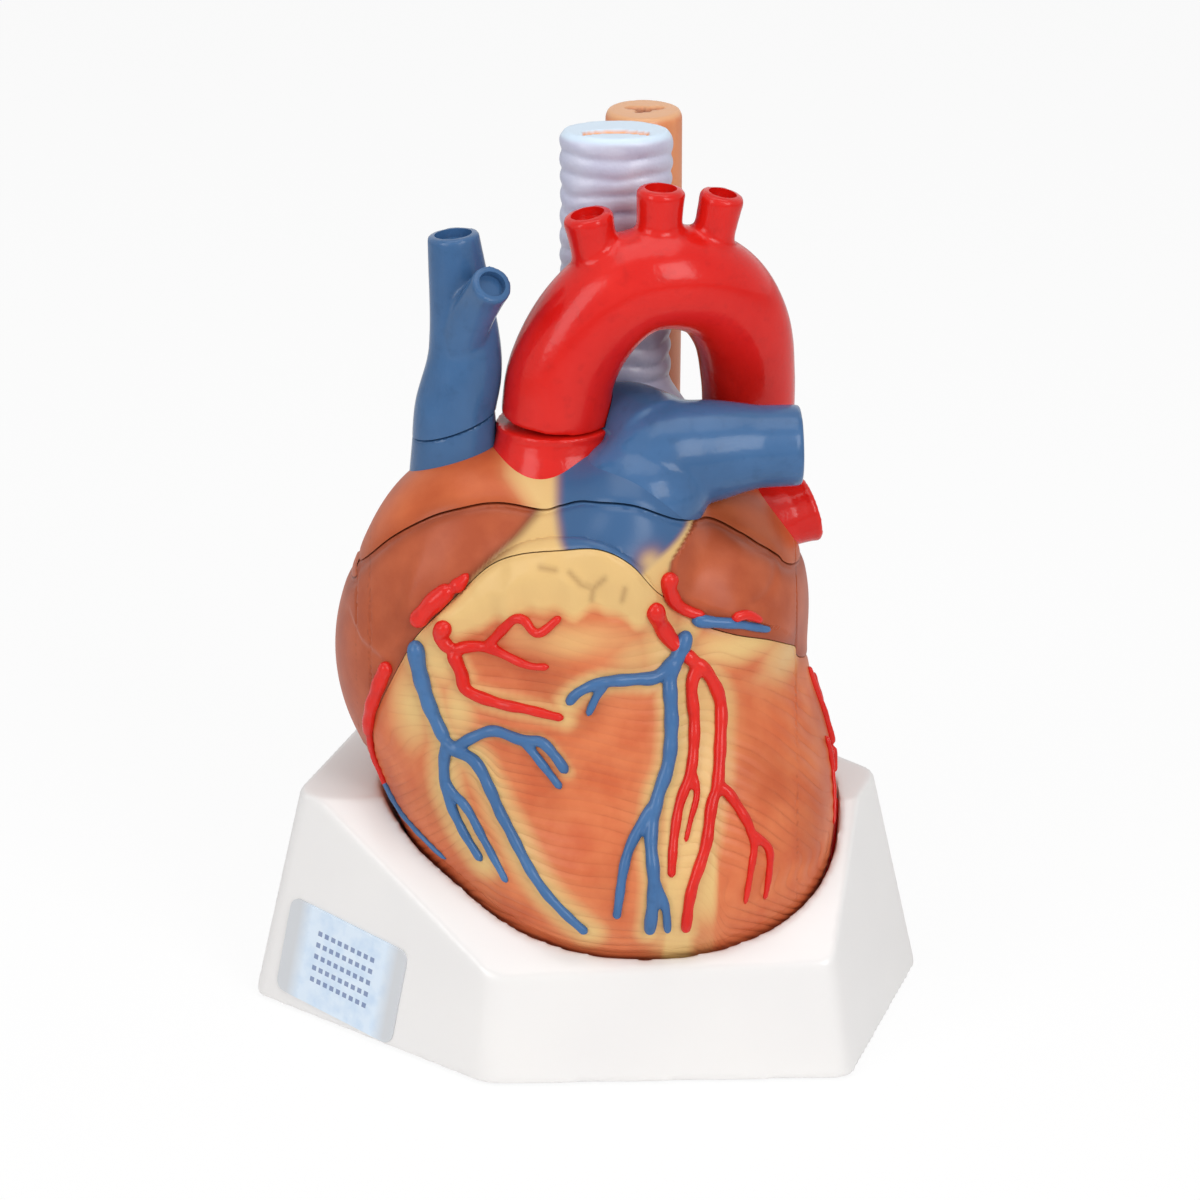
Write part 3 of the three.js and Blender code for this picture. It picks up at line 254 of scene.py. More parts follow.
# Windpipe and gullet
TRACHEA_AT = (10, 25)
TRACHEA_HALF = (20.0, 13.4)
TRACHEA_HEIGHTS = (217, 313)
RING_PITCH = 7.0
RING_DEPTH = 1.5
LEFT_BRONCHUS = [(12, 25, 228), (21, 25, 215), (31, 25, 203)]
RIGHT_BRONCHUS = [(8, 25, 228), (-4, 26, 218), (-22, 27, 212)]
BRONCHUS_RADII = [12, 10, 8.5]
OESOPHAGUS_AT = (20, 54)
OESOPHAGUS_RADIUS = 13.8
OESOPHAGUS_HEIGHTS = (172.5, 312)

# Base
BASE_CORNERS = [(-123, -28), (-36, -100), (93, -95), (122.5, -1), (60, 66), (-80, 102.9)]
BASE_DRAFT = math.tan(math.radians(11))
BASE_CORNER_ROUND = 5
BASE_WALL = 3
RECESS_GAP = 1.6
RECESS_MARGIN = 13
BASE_VOXEL = 1.35
BASE_SMOOTHING = 8
FOOT_INSET = 20
FOOT_RADIUS = 7
FOOT_PROUD = 0.5
FOOT_THICKNESS = 2.8
BOSS_TOP = 17
# Label on the left front face: its turn, half sizes of the printed field and pitch of its marks
LABEL_TURN = -5
LABEL_PRINT_HALF = (15, 11)
LABEL_MARK_PITCH = (3.2, 4.4)
LABEL_MARK_SHARE = (0.62, 0.42)  # of each pitch that the mark fills

# Camera solved from the photograph
CAMERA_PITCH = math.radians(22)
CAMERA_DISTANCE = 1675
CAMERA_TARGET = Vector((4.4, -11.9, 149.5))
CAMERA_LENS = 140.7
AMBIENT_LIGHT = 0.36  # strength of the white surroundings where only their light is seen


# Curves and lines
def smooth_line(points, per_span=8):
    """A Catmull-Rom line through the points, as an array."""
    p = np.array(points, float)
    p = np.vstack([2 * p[0] - p[1], p, 2 * p[-1] - p[-2]])
    out = []
    for i in range(1, len(p) - 2):
        for t in np.arange(per_span) / per_span:
            a, b, c, d = p[i - 1], p[i], p[i + 1], p[i + 2]
            out.append(0.5 * (2 * b + (c - a) * t + (2 * a - 5 * b + 4 * c - d) * t**2
                              + (3 * b - a - 3 * c + d) * t**3))
    out.append(p[-2])
    return np.array(out)


def even_line(points, step):
    """Points along the smooth line, evenly spaced by about step, and how far along each lies, 0 to 1."""
    line = smooth_line(points, 16)
    lengths = np.concatenate([[0], np.cumsum(np.linalg.norm(np.diff(line, axis=0), axis=1))])
    count = max(3, int(round(lengths[-1] / step)) + 1)
    along = np.linspace(0, 1, count)
    wanted = along * lengths[-1]
    even = np.column_stack([np.interp(wanted, lengths, line[:, k]) for k in range(line.shape[1])])
    return even, along


ROOF_CURVE = smooth_line(ROOF_LINE)
VALVE_CURVE = smooth_line(VALVE_LINE)


def signed_gap(curve, x, z):
    """Distance above (positive) or below a line drawn in x and height."""
    height = np.interp(x, curve[:, 0], curve[:, 1])
    slope = np.interp(x, curve[:, 0], np.gradient(curve[:, 1], curve[:, 0]))
    return (z - height) / np.hypot(1, slope)


def step_up(value, low, high):
    """0 below low, 1 above high, smooth between."""
    t = np.clip((value - low) / (high - low), 0, 1)
    return t * t * (3 - 2 * t)


def lumps(points, size, seed=0.0):
    """Soft noise between -1 and 1 for each row of points, with lumps of about the given size."""
    shift = Vector((seed, 2 * seed, -seed))
    return np.array([noise.noise(Vector(p) / size + shift) for p in points])


# Heart skin
def lobe_reach(direction):
    """How far the melted lobes reach from the heart's middle along each direction."""
    inner = np.full(len(direction), 20.0)
    outer = np.full(len(direction), 170.0)
    for _ in range(22):
        middle = (inner + outer) / 2
        p = HEART_MIDDLE + direction * middle[:, None]
        field = np.zeros(len(p))
        for at, size in LOBES.values():
            field += np.sum(((p - np.array(at)) / np.array(size)) ** 2, axis=1) ** (-BLEND / 2)
        inside = field >= 1
        inner = np.where(inside, middle, inner)
        outer = np.where(inside, outer, middle)
    return inner


def skin_near(points):
    """The points of the skin that lie the same way from the heart's middle as the given ones."""
    arm = np.asarray(points, float) - HEART_MIDDLE
    direction = arm / np.linalg.norm(arm, axis=1)[:, None]
    return HEART_MIDDLE + direction * skin_reach(direction)[:, None]


def front_facing(direction):
    return step_up(-direction[:, 1], -0.05, 0.5)


def valve_gap(p):
    return signed_gap(VALVE_CURVE, p[:, 0], p[:, 2] + PARTING_RISE * (p[:, 1] - VALVE_LINE_Y))


def roof_gap(p):
    return signed_gap(ROOF_CURVE, p[:, 0], p[:, 2])


def edge_at(edge, height):
    """Where an edge of paint or relief lies in x, for each height."""
    return np.interp(height, [z for z, _ in edge], [x for _, x in edge])


def fat_share(p):
    """1 on the fat pad of the front wall, 0 off it."""
    edge = np.interp(p[:, 0], [x for x, _ in FAT_EDGE], [z for _, z in FAT_EDGE])
    wander = 1.4 * np.sin(p[:, 0] / 3.1) + 0.9 * np.sin(p[:, 0] / 1.7 + 1)
    share = step_up(p[:, 2] - edge - wander, -4.5, 5)
    share *= step_up(p[:, 0], -58, -50) * (1 - step_up(p[:, 0], 22, 29))
    return share * (valve_gap(p) < 0) * (p[:, 1] < -25)


def wrinkle_rows(p):
    """Rows of the muscle's wrinkles, counted across them."""
    x, z = p[:, 0], p[:, 2]
    waves = 1.5 * np.sin(x / 15) + 1.1 * np.sin(x / 7.3 + z / 24)
    middle = z + 0.06 * x + waves
    fan = z * 0.86 + 0.012 * np.clip(x - 34, 0, None) ** 2 + 20
    right = step_up(x, 36, 48)
    strokes = (z - 1.25 * (x + 30)) / 1.35
    left = (1 - step_up(x, -46, -30)) * (1 - step_up(z, 106, 122))
    foot = (1 - step_up(z, 64, 76)) * step_up(x, 40, 50)
    rows = middle * (1 - right) + fan * right
    rows = rows * (1 - left) + strokes * left
    wander = 0.2 * lumps(p * (0.45, 1, 1), 9, 21)
    return (rows + 10 * foot) / WRINKLE_PITCH + wander


def wrinkle_strength(p):
    """1 where the muscle is wrinkled most, 0 off the muscle."""
    muscle = (valve_gap(p) < 0) * step_up(-p[:, 1], 16, 32) * (1 - fat_share(p))
    strength = muscle * (1 - 0.45 * cream_share(p)) * step_up(-valve_gap(p), 2, 7)
    return strength * (0.5 + 0.15 * step_up(p[:, 0], 36, 52))


def skin_details(p, direction):
    """Finer shape of the skin, added along each direction."""
    facing = front_facing(direction)
    detail = np.zeros(len(p))
    for x, z, reach, height in SWELLINGS:
        away = ((p[:, 0] - x) ** 2 + (p[:, 2] - z) ** 2) / reach**2
        detail += facing * height * np.exp(-away**2)
    detail += FAT_HEIGHT * fat_share(p) * np.sqrt(np.clip(-valve_gap(p) / FAT_BROW, 0, 1))
    appendage = np.interp(p[:, 0], [x for x, _ in APPENDAGE_EDGE], [z for _, z in APPENDAGE_EDGE])
    above_valves_share = (valve_gap(p) > 0) * facing
    raised = step_up(p[:, 2] - appendage, -1.5, 1.5) * above_valves_share
    raised *= (1 - step_up(p[:, 0], -62, -54)) * (1 - step_up(p[:, 2] - appendage, 8, 26))
    detail += 1.5 * raised
    beyond = p[:, 0] - edge_at(AURICLE_EDGE, p[:, 2])
    auricle = step_up(beyond, -0.6, 2.2) * (1 - step_up(beyond, 8, 30)) * (p[:, 2] < 196)
    detail += 1.8 * auricle * above_valves_share
    fold = np.hypot((p[:, 0] - 50) / 1.15, p[:, 2] - 170)
    detail -= 1.1 * np.exp(-((fold - 11.5) / 1.6) ** 2) * step_up(p[:, 0], 46, 54) * above_valves_share
    detail += 2.0 * np.exp(-((p[:, 0] - 50) ** 2 + (p[:, 2] - 175) ** 2) / 60) * above_valves_share
    return detail


def skin_reach(direction):
    reach = lobe_reach(direction)
    p = HEART_MIDDLE + direction * reach[:, None]
    return reach + skin_details(p, direction)


def seam_roll(p):
    """How far the skin rolls inwards beside the seams."""
    roll = np.zeros(len(p))
    beside_wall = (p[:, 2] > 92) * (valve_gap(p) < 0)
    wall_side = np.where(beside_wall, np.abs(p[:, 1] - WALL_PROFILE[1][0]), FAR)
    seams = ((valve_gap(p), VALVE_SEAM_DEPTH), (roof_gap(p), ROOF_SEAM_DEPTH), (wall_side, SIDE_SEAM_DEPTH))
    for gap, depth in seams:
        roll = np.maximum(roll, depth * np.clip(1 - np.abs(gap) / SEAM_ROLL, 0, 1) ** 2)
    return roll


def skin_at(a, z, side="front"):
    """The point of the skin that a straight look meets: a is x from the front or back, y from the right."""
    a, z = np.atleast_1d(a).astype(float), np.atleast_1d(z).astype(float)
    starts = {"front": -100.0, "back": 70.0, "side": 104.0}
    ends = {"front": -12.0, "back": -12.0, "side": 0.0}
    outer = np.full(len(a), starts[side])
    inner = np.full(len(a), ends[side])
    for _ in range(18):
        middle = (outer + inner) / 2
        p = np.column_stack([middle, a, z] if side == "side" else [a, middle, z])
        arm = p - HEART_MIDDLE
        length = np.linalg.norm(arm, axis=1)
        inside = length < skin_reach(arm / length[:, None])
        inner = np.where(inside, middle, inner)
        outer = np.where(inside, outer, middle)
    return np.column_stack([outer, a, z] if side == "side" else [a, outer, z])


# Mesh building
def to_object(bm, name, body=None):
    """Makes a bmesh in millimetres an object in metres."""
    mesh = bpy.data.meshes.new(name)
    bm.to_mesh(mesh)
    bm.free()
    mesh.transform(Matrix.Scale(MM, 4))
    piece = bpy.data.objects.new(name, mesh)
    bpy.context.scene.collection.objects.link(piece)
    if body:
        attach(piece, body)
    return piece


def settle(piece):
    """Applies a piece's modifiers and shades it smoothly, with its real edges kept sharp."""
    depsgraph = bpy.context.evaluated_depsgraph_get()
    mesh = bpy.data.meshes.new_from_object(piece.evaluated_get(depsgraph))
    piece.modifiers.clear()
    old = piece.data
    piece.data = mesh
    bpy.data.meshes.remove(old)
    mesh.name = piece.name
    shade(piece)
    return piece


def shade(piece, edge_angle=38):
    mesh = piece.data
    mesh.polygons.foreach_set("use_smooth", np.ones(len(mesh.polygons), bool))
    mesh.set_sharp_from_angle(angle=math.radians(edge_angle))


def fuse(piece, voxel, smoothing):
    """Melts overlapping solids into one skin and smooths it."""
    melt = piece.modifiers.new("melt", "REMESH")
    melt.mode = "VOXEL"
    melt.voxel_size = voxel * MM
    melt.use_smooth_shade = True
    if smoothing:
        soft = piece.modifiers.new("soften", "SMOOTH")
        soft.factor = 0.5
        soft.iterations = smoothing
    return settle(piece)


def cut(piece, tools, operation="DIFFERENCE"):
    """Cuts a piece by solids, which are used up."""
    for tool in tools:
        knife = piece.modifiers.new("cut", "BOOLEAN")
        knife.operation = operation
        knife.solver = "MANIFOLD"
        knife.object = tool
    settle(piece)
    for tool in tools:
        bpy.data.objects.remove(tool)
    return piece


def copy_of(piece, name):
    twin = piece.copy()
    twin.data = piece.data.copy()
    twin.name = name
    bpy.context.scene.collection.objects.link(twin)
    return twin


def vertices_of(mesh):
    flat = np.empty(len(mesh.vertices) * 3, np.float32)
    mesh.vertices.foreach_get("co", flat)
    return flat.reshape(-1, 3).astype(float) / MM


def place_vertices(mesh, points):
    mesh.vertices.foreach_set("co", (points * MM).astype(np.float32).ravel())
    mesh.update()


def write_attribute(mesh, name, values):
    attribute = mesh.attributes.new(name, "FLOAT", "POINT")
    attribute.data.foreach_set("value", np.asarray(values, np.float32))


def ring_frames(places):
    """A matrix for each place of a route: its middle, with Z along the route."""
    tangents = np.gradient(places, axis=0)
    frames = []
    side = Vector((0, 1, 0)) if abs(Vector(tangents[0]).normalized().y) < 0.9 else Vector((1, 0, 0))
    for place, tangent in zip(places, tangents):
        along = Vector(tangent).normalized()
        side = (side - along * side.dot(along)).normalized()
        turn = Matrix((side, along.cross(side), along)).transposed().to_4x4()
        frames.append(Matrix.Translation(Vector(place)) @ turn)
    return frames


def add_tube(bm, places, radii, segments=16):
    """A closed tube through the places, made by pulling its end face along them."""
    frames = ring_frames(places)
    scales = [Matrix.Diagonal((r, r, 1, 1)) for r in radii]
    circle = bmesh.ops.create_circle(
        bm, cap_ends=True, segments=segments, radius=1, matrix=frames[0] @ scales[0])
    face = circle["verts"][0].link_faces[0]
    for i in range(1, len(frames)):
        pulled = bmesh.ops.extrude_face_region(bm, geom=[face])["geom"]
        face = next(part for part in pulled if isinstance(part, bmesh.types.BMFace))
        move = frames[i] @ scales[i] @ (frames[i - 1] @ scales[i - 1]).inverted()
        bmesh.ops.transform(bm, matrix=move, verts=face.verts)
    bmesh.ops.recalc_face_normals(bm, faces=bm.faces)


def tube_along(bm, route, radii, step=3.0, segments=24):
    places, along = even_line(route, step)
    add_tube(bm, places, np.interp(along, np.linspace(0, 1, len(radii)), radii), segments)


def ball(name, at, size, detail=5):
    bm = bmesh.new()
    bmesh.ops.create_icosphere(bm, subdivisions=detail, radius=1)
    bmesh.ops.scale(bm, vec=size, verts=bm.verts)
    bmesh.ops.translate(bm, vec=at, verts=bm.verts)
    return to_object(bm, name)


def rod(name, start, end, radius, end_radius=None, segments=64):
    bm = bmesh.new()
    route = np.array([start, end], float)
    add_tube(bm, route, [radius, radius if end_radius is None else end_radius], segments)
    return to_object(bm, name)


def plate(name, outline, axis="y", rise=0.0, rise_from=0.0):
    """A solid pushed right through the heart from an outline in x and height, or in y and height."""
    bm = bmesh.new()
    if axis == "y":
        corners = [bm.verts.new((x, -FAR, z - rise * (-FAR - rise_from))) for x, z in outline]
        push = Vector((0, 2 * FAR, -rise * 2 * FAR))
    else:
        corners = [bm.verts.new((-FAR, y, z)) for y, z in outline]
        push = Vector((2 * FAR, 0, 0))
    face = bm.faces.new(corners)
    pushed = bmesh.ops.extrude_face_region(bm, geom=[face])["geom"]
    moved = [part for part in pushed if isinstance(part, bmesh.types.BMVert)]
    bmesh.ops.translate(bm, vec=push, verts=moved)
    bmesh.ops.recalc_face_normals(bm, faces=bm.faces)
    return to_object(bm, name)


def above_line(name, curve, shift, rise=0.0, rise_from=0.0):
    outline = [(x, z + shift) for x, z in curve] + [(curve[-1][0], FAR), (curve[0][0], FAR)]
    return plate(name, outline, "y", rise, rise_from)


def above_valves(name, shift):
    return above_line(name, VALVE_CURVE, shift, PARTING_RISE, VALVE_LINE_Y)


def base_top(y):
    return BASE_REAR_HEIGHT + BASE_TOP_SLOPE * np.minimum(0, y - BASE_CREASE_Y)


def wall_zone(name, back):
    """Everything in front of the line where the front wall parts."""
    (bend_y, bend_z), (back_y, back_z) = WALL_PROFILE
    front_y = -160
    outline = [
        (front_y, base_top(front_y) + 3 - back), (bend_y + back, bend_z - back),
        (back_y + back, back_z - back), (back_y + back, FAR), (front_y, FAR),
    ]
    return plate(name, outline, "x")


# Materials
def linear(hex_colour):
    value = [int(hex_colour[i:i + 2], 16) / 255 for i in (1, 3, 5)]
    return [v / 12.92 if v <= 0.04045 else ((v + 0.055) / 1.055) ** 2.4 for v in value] + [1.0]


def node(tree, kind, settings=None, links=None):
    """Adds a node, sets its properties and sockets, and links sockets to other nodes' outputs."""
    made = tree.nodes.new(kind)
    for key, value in (settings or {}).items():
        if isinstance(key, str) and hasattr(made, key):
            setattr(made, key, value)
        else:
            made.inputs[key].default_value = value
    for key, output in (links or {}).items():
        tree.links.new(output, made.inputs[key])
    return made


def new_material(name, **surface):
    """A material with one Principled shader; returns it, its tree and the shader."""
    material = bpy.data.materials.new(name)
    material.use_nodes = True
    tree = material.node_tree
    shader = tree.nodes["Principled BSDF"]
    for socket, value in surface.items():
        shader.inputs[socket.replace("_", " ")].default_value = value
    return material, tree, shader


def object_noise(tree, size, detail=3.0, stretch=(1, 1, 1)):
    """Noise on the object's own coordinates, with grains of about size millimetres."""
    coordinates = node(tree, "ShaderNodeTexCoord")
    scale = [s / (size * MM) for s in stretch]
    mapping = node(tree, "ShaderNodeMapping", {"Scale": scale}, {"Vector": coordinates.outputs["Object"]})
    settings = {"Scale": 1.0, "Detail": detail}
    return node(tree, "ShaderNodeTexNoise", settings, {"Vector": mapping.outputs[0]})


def blend_colour(tree, share, first, second):
    """Mixes two colours, each a hex value or an output, by a share that is an output."""
    mix = node(tree, "ShaderNodeMix", {"data_type": "RGBA"})
    tree.links.new(share, mix.inputs["Factor"])
    for socket, colour in ((mix.inputs[6], first), (mix.inputs[7], second)):
        if isinstance(colour, str):
            socket.default_value = linear(colour)
        else:
            tree.links.new(colour, socket)
    return mix.outputs[2]


def share_range(tree, value, low, high, to_low=0.0, to_high=1.0):
    settings = {"From Min": low, "From Max": high, "To Min": to_low, "To Max": to_high}
    return node(tree, "ShaderNodeMapRange", settings, {"Value": value}).outputs[0]


def attribute_value(tree, name):
    return node(tree, "ShaderNodeAttribute", {"attribute_name": name}).outputs["Fac"]


def bump(tree, height, depth, below=None):
    """Relief of a depth in millimetres, on top of the relief below; a negative depth sinks in."""
    settings = {"Strength": 1.0, "Distance": abs(depth) * MM, "invert": depth < 0}
    links = {"Height": height} | ({"Normal": below} if below else {})
    return node(tree, "ShaderNodeBump", settings, links).outputs[0]


def painted_casting(name, main, deep, light, cream="#DCB678"):
    """Hand-painted polyurethane casting: airbrushed colour over relief, under a satin varnish, with painted
    shade beside its seams and in the bottoms of its wrinkles.
    """
    material, tree, shader = new_material(
        name, Roughness=0.42, IOR=1.5, Specular_IOR_Level=0.22, Coat_Weight=0.1, Coat_Roughness=0.25)
    broad = object_noise(tree, 14, 4.0).outputs["Fac"]
    colour = blend_colour(tree, share_range(tree, broad, 0.35, 0.68), main, light)
    # Painted shade beside the seams, with random darker mottling, blended towards the deep colour
    colour = blend_colour(tree, attribute_value(tree, "seam_shade_and_mottle"), colour, deep)
    airbrushed = attribute_value(tree, "cream")
    haze = share_range(tree, airbrushed, 0.0, 0.45)
    colour = blend_colour(tree, share_range(tree, haze, 0, 1, 0, 0.55), colour, "#D99C66")
    colour = blend_colour(tree, share_range(tree, airbrushed, 0.15, 0.85), colour, cream)
    colour = blend_colour(tree, attribute_value(tree, "blue"), colour, BLUE_PAINT)
    wrinkles = wrinkle_grooves(tree, 0.26, GROOVE_SHARPNESS)
    # Painted shade: the bottoms of the wrinkles are darkened towards the deep colour
    colour = blend_colour(tree, share_range(tree, wrinkles, 0, 1, 0, 0.34), colour, deep)
    colour = blend_colour(tree, attribute_value(tree, "crack"), colour, "#6E3A22")
    tree.links.new(colour, shader.inputs["Base Color"])
    gloss = share_range(tree, attribute_value(tree, "blue"), 0, 1, 0.42, 0.3)
    tree.links.new(gloss, shader.inputs["Roughness"])
    grain = object_noise(tree, 0.9, 2.0).outputs["Fac"]
    relief = None
    folds = wrinkle_grooves(tree, 0.0, FOLD_SHARPNESS)
    for height, depth in ((folds, -FOLD_DEPTH), (wrinkles, -GROOVE_DEPTH), (grain, 0.04)):
        relief = bump(tree, height, depth, relief)
    tree.links.new(relief, shader.inputs["Normal"])
    return material


def wrinkle_grooves(tree, crest, sharpness):
    """1 in the bottom of a wrinkle, 0 on its crest, faded by the strength painted on the mesh."""
    rows = attribute_value(tree, "rows")
    wave = node(tree, "ShaderNodeMath", {"operation": "PINGPONG", 1: 0.5}, {0: rows})
    groove = share_range(tree, wave.outputs[0], crest, 0.5)
    sharp = node(tree, "ShaderNodeMath", {"operation": "POWER", 1: sharpness}, {0: groove})
    strength = attribute_value(tree, "wrinkled")
    patchy = object_noise(tree, 16, 2.0, (0.5, 1, 1)).outputs["Fac"]
    lasting = share_range(tree, patchy, 0.38, 0.58, 0.25, 1.0)
    faded = node(tree, "ShaderNodeMath", {"operation": "MULTIPLY"}, {0: strength, 1: lasting})
    shown = {0: sharp.outputs[0], 1: faded.outputs[0]}
    return node(tree, "ShaderNodeMath", {"operation": "MULTIPLY"}, shown).outputs[0]


def glossy_paint(name, main, deep, light, roughness=0.24, grain=0.06):
    """Glossy enamel brushed over a casting: an even colour with a faint orange peel in its highlights."""
    material, tree, shader = new_material(
        name, Roughness=roughness, IOR=1.5, Specular_IOR_Level=0.2, Coat_Weight=0.12, Coat_Roughness=0.06)
    broad = object_noise(tree, 22, 3.0).outputs["Fac"]
    colour = blend_colour(tree, share_range(tree, broad, 0.3, 0.7), main, light)
    worn = object_noise(tree, 5, 4.0).outputs["Fac"]
    colour = blend_colour(tree, share_range(tree, worn, 0.55, 0.8, 0, 0.35), colour, deep)
    tree.links.new(colour, shader.inputs["Base Color"])
    peel = object_noise(tree, 1.6, 2.0).outputs["Fac"]
    tree.links.new(bump(tree, peel, grain), shader.inputs["Normal"])
    return material


# Moulded polystyrene: bright, nearly even white with a soft gloss and barely visible flow in it
def moulded_shell_material():
    material, tree, shader = new_material("moulded polystyrene", Roughness=0.28, IOR=1.52, Coat_Weight=0.15)
    flow = object_noise(tree, 60, 2.0).outputs["Fac"]
    colour = blend_colour(tree, share_range(tree, flow, 0.3, 0.7), "#E9E7E5", "#E5E3E2")
    tree.links.new(colour, shader.inputs["Base Color"])
    fine = object_noise(tree, 2.5, 2.0).outputs["Fac"]
    tree.links.new(bump(tree, fine, 0.02), shader.inputs["Normal"])
    return material


# Windpipe casting: pale lilac grey paint, with painted shade in the grooves between its rings, orange in the
# slit
def windpipe_material():
    material, tree, shader = new_material(
        "painted windpipe casting", Roughness=0.42, IOR=1.5, Coat_Weight=0.2)
    cloud = object_noise(tree, 12, 3.0).outputs["Fac"]
    colour = blend_colour(tree, share_range(tree, cloud, 0.35, 0.7), "#BDBFD6", "#CDD0E2")
    # Painted shade: darker in the grooves between the rings
    colour = blend_colour(tree, attribute_value(tree, "crease"), colour, "#8E90AE")
    colour = blend_colour(tree, attribute_value(tree, "top"), colour, "#CFE0F0")
    colour = blend_colour(tree, attribute_value(tree, "slit"), colour, "#E99A55")
    tree.links.new(colour, shader.inputs["Base Color"])
    grain = object_noise(tree, 1.4, 3.0).outputs["Fac"]
    tree.links.new(bump(tree, grain, 0.1), shader.inputs["Normal"])
    return material


# Gullet casting: salmon paint with soft lengthwise streaks, dark brown in the folds of its mouth
def gullet_material():
    material, tree, shader = new_material("painted gullet casting", Roughness=0.45, IOR=1.5, Coat_Weight=0.2)
    streaks = object_noise(tree, 6, 3.0, (1, 1, 0.12)).outputs["Fac"]
    colour = blend_colour(tree, share_range(tree, streaks, 0.35, 0.7), "#D9824F", "#E2935F")
    colour = blend_colour(tree, attribute_value(tree, "top"), colour, "#DDA374")
    colour = blend_colour(tree, attribute_value(tree, "crease"), colour, "#7A3E22")
    tree.links.new(colour, shader.inputs["Base Color"])
    grain = object_noise(tree, 1.6, 3.0).outputs["Fac"]
    tree.links.new(bump(tree, grain, 0.1), shader.inputs["Normal"])
    return material


def steel_material():
    """Turned stainless steel pin: metallic, with a fine mottle in its colour."""
    material, tree, shader = new_material("turned steel", Metallic=1.0, Roughness=0.3)
    rings = object_noise(tree, 0.8, 2.0).outputs["Fac"]
    colour = blend_colour(tree, rings, "#A9ABAE", "#C4C5C8")
    tree.links.new(colour, shader.inputs["Base Color"])
    return material


def rubber_material():
    """Pressed rubber foot: dark, matt, slightly dusty."""
    material, tree, shader = new_material("pressed rubber", Roughness=0.75, IOR=1.52)
    dust = object_noise(tree, 3, 3.0).outputs["Fac"]
    colour = blend_colour(tree, share_range(tree, dust, 0.4, 0.8), "#3A3A3C", "#57575A")
    tree.links.new(colour, shader.inputs["Base Color"])
    return material


def lumen_material(name, main, deep):
    """Inside of an open vessel end: satin paint, mottled darker by noise."""
    material, tree, shader = new_material(name, Roughness=0.4, IOR=1.5)
    cloud = object_noise(tree, 3, 3.0).outputs["Fac"]
    colour = blend_colour(tree, share_range(tree, cloud, 0.35, 0.7), main, deep)
    tree.links.new(colour, shader.inputs["Base Color"])
    return material


# Castings of the heart
def heart_skin():
    """The whole heart as one fine closed skin."""
    bm = bmesh.new()
    bmesh.ops.create_icosphere(bm, subdivisions=SKIN_DETAIL, radius=1)
    piece = to_object(bm, "heart_skin")
    direction = vertices_of(piece.data)
    direction /= np.linalg.norm(direction, axis=1)[:, None]
    p = HEART_MIDDLE + direction * skin_reach(direction)[:, None]
    facing = front_facing(direction)
    fat = fat_share(p)
    relief = fat * (0.7 * lumps(p, 9) + 0.25 * lumps(p, 4, 5))
    relief += 1.1 * 4 * fat * (1 - fat) * lumps(p, 6, 13)
    relief += 0.4 * facing * lumps(p, 17, 3)
    relief -= seam_roll(p) + 0.7 * crack_share(p)
    groove = 1 - np.abs(2 * (wrinkle_rows(p) % 1) - 1)
    relief -= WRINKLE_RELIEF * wrinkle_strength(p) * groove**FOLD_SHARPNESS
    place_vertices(piece.data, p + direction * relief[:, None])
    return piece


def route_gap(p, branches):
    """Distance in x and height from each point to the nearest of the routes."""
    nearest = np.full(len(p), 99.0)
    for *_, route in branches:
        for place in even_line(route, 3)[0]:
            nearest = np.minimum(nearest, np.hypot(p[:, 0] - place[0], p[:, 2] - place[-1]))
    return nearest


def crack_share(p):
    """Thin open lines in the casting: between the atria, round the auricle and in the fat pad."""
    x, z = p[:, 0], p[:, 2]
    above_valve, below_roof = valve_gap(p) > 0, roof_gap(p) < 0
    front = p[:, 1] < -25
    between_atria = np.abs(x - edge_at(ATRIUM_EDGE, z)) / 1.8
    line = 0.7 * np.exp(-(between_atria / CRACK_WIDTH) ** 2) * above_valve * below_roof * front * (x < -8)
    auricle = np.abs(x - edge_at(AURICLE_EDGE, z))
    line = np.maximum(line, 0.6 * np.exp(-(auricle / 0.7) ** 2) * above_valve * below_roof * (z > 166))
    for a, b in FAT_CRACKS:
        start, end = np.array(a, float), np.array(b, float)
        along = np.clip(((x - start[0]) * (end - start)[0] + (z - start[1]) * (end - start)[1])
                        / np.sum((end - start) ** 2), 0, 1)
        away = np.hypot(x - start[0] - along * (end - start)[0], z - start[1] - along * (end - start)[1])
        line = np.maximum(line, 0.35 * np.exp(-(away / CRACK_WIDTH) ** 2) * (valve_gap(p) < 0) * front)
    return line


def cream_share(p):
    """How cream the muscle is airbrushed: beside its vessels, on the fat pad and under the left seam."""
    x, z = p[:, 0], p[:, 2]
    soft = lumps(p, 11, 7)
    between_vessels = step_up(x, 24, 29) * (1 - step_up(x, 43, 47)) * (1 - step_up(z, 140, 152))
    cream = between_vessels * (1 - 0.75 * step_up(-z, -74, -52) * step_up(np.abs(x - 30), 3, 9))
    for branches, reach, strength in (
            (GREAT_VEIN[:3], 5.0, 0.85), (ANTERIOR_ARTERY[1:2] + ANTERIOR_ARTERY[3:4], 5.5, 0.9),
            (ANTERIOR_VEIN[0:2] + ANTERIOR_VEIN[4:5], 6.5, 0.9), (ANTERIOR_VEIN[2:3], 3.5, 0.45),
            (MARGINAL_ARTERY[:2], 4.5, 0.8), (ANTERIOR_ROOT, 6.0, 0.9)):
        cream = np.maximum(cream, strength * np.exp(-(route_gap(p, branches) / reach) ** 2))
    for at_x, at_z, reach_x, reach_z, strength in CREAM_SPOTS:
        away = ((x - at_x) / reach_x) ** 2 + ((z - at_z) / reach_z) ** 2
        cream = np.maximum(cream, strength * np.exp(-away))
    return np.clip(cream * (1 + 0.25 * soft), 0, 1)


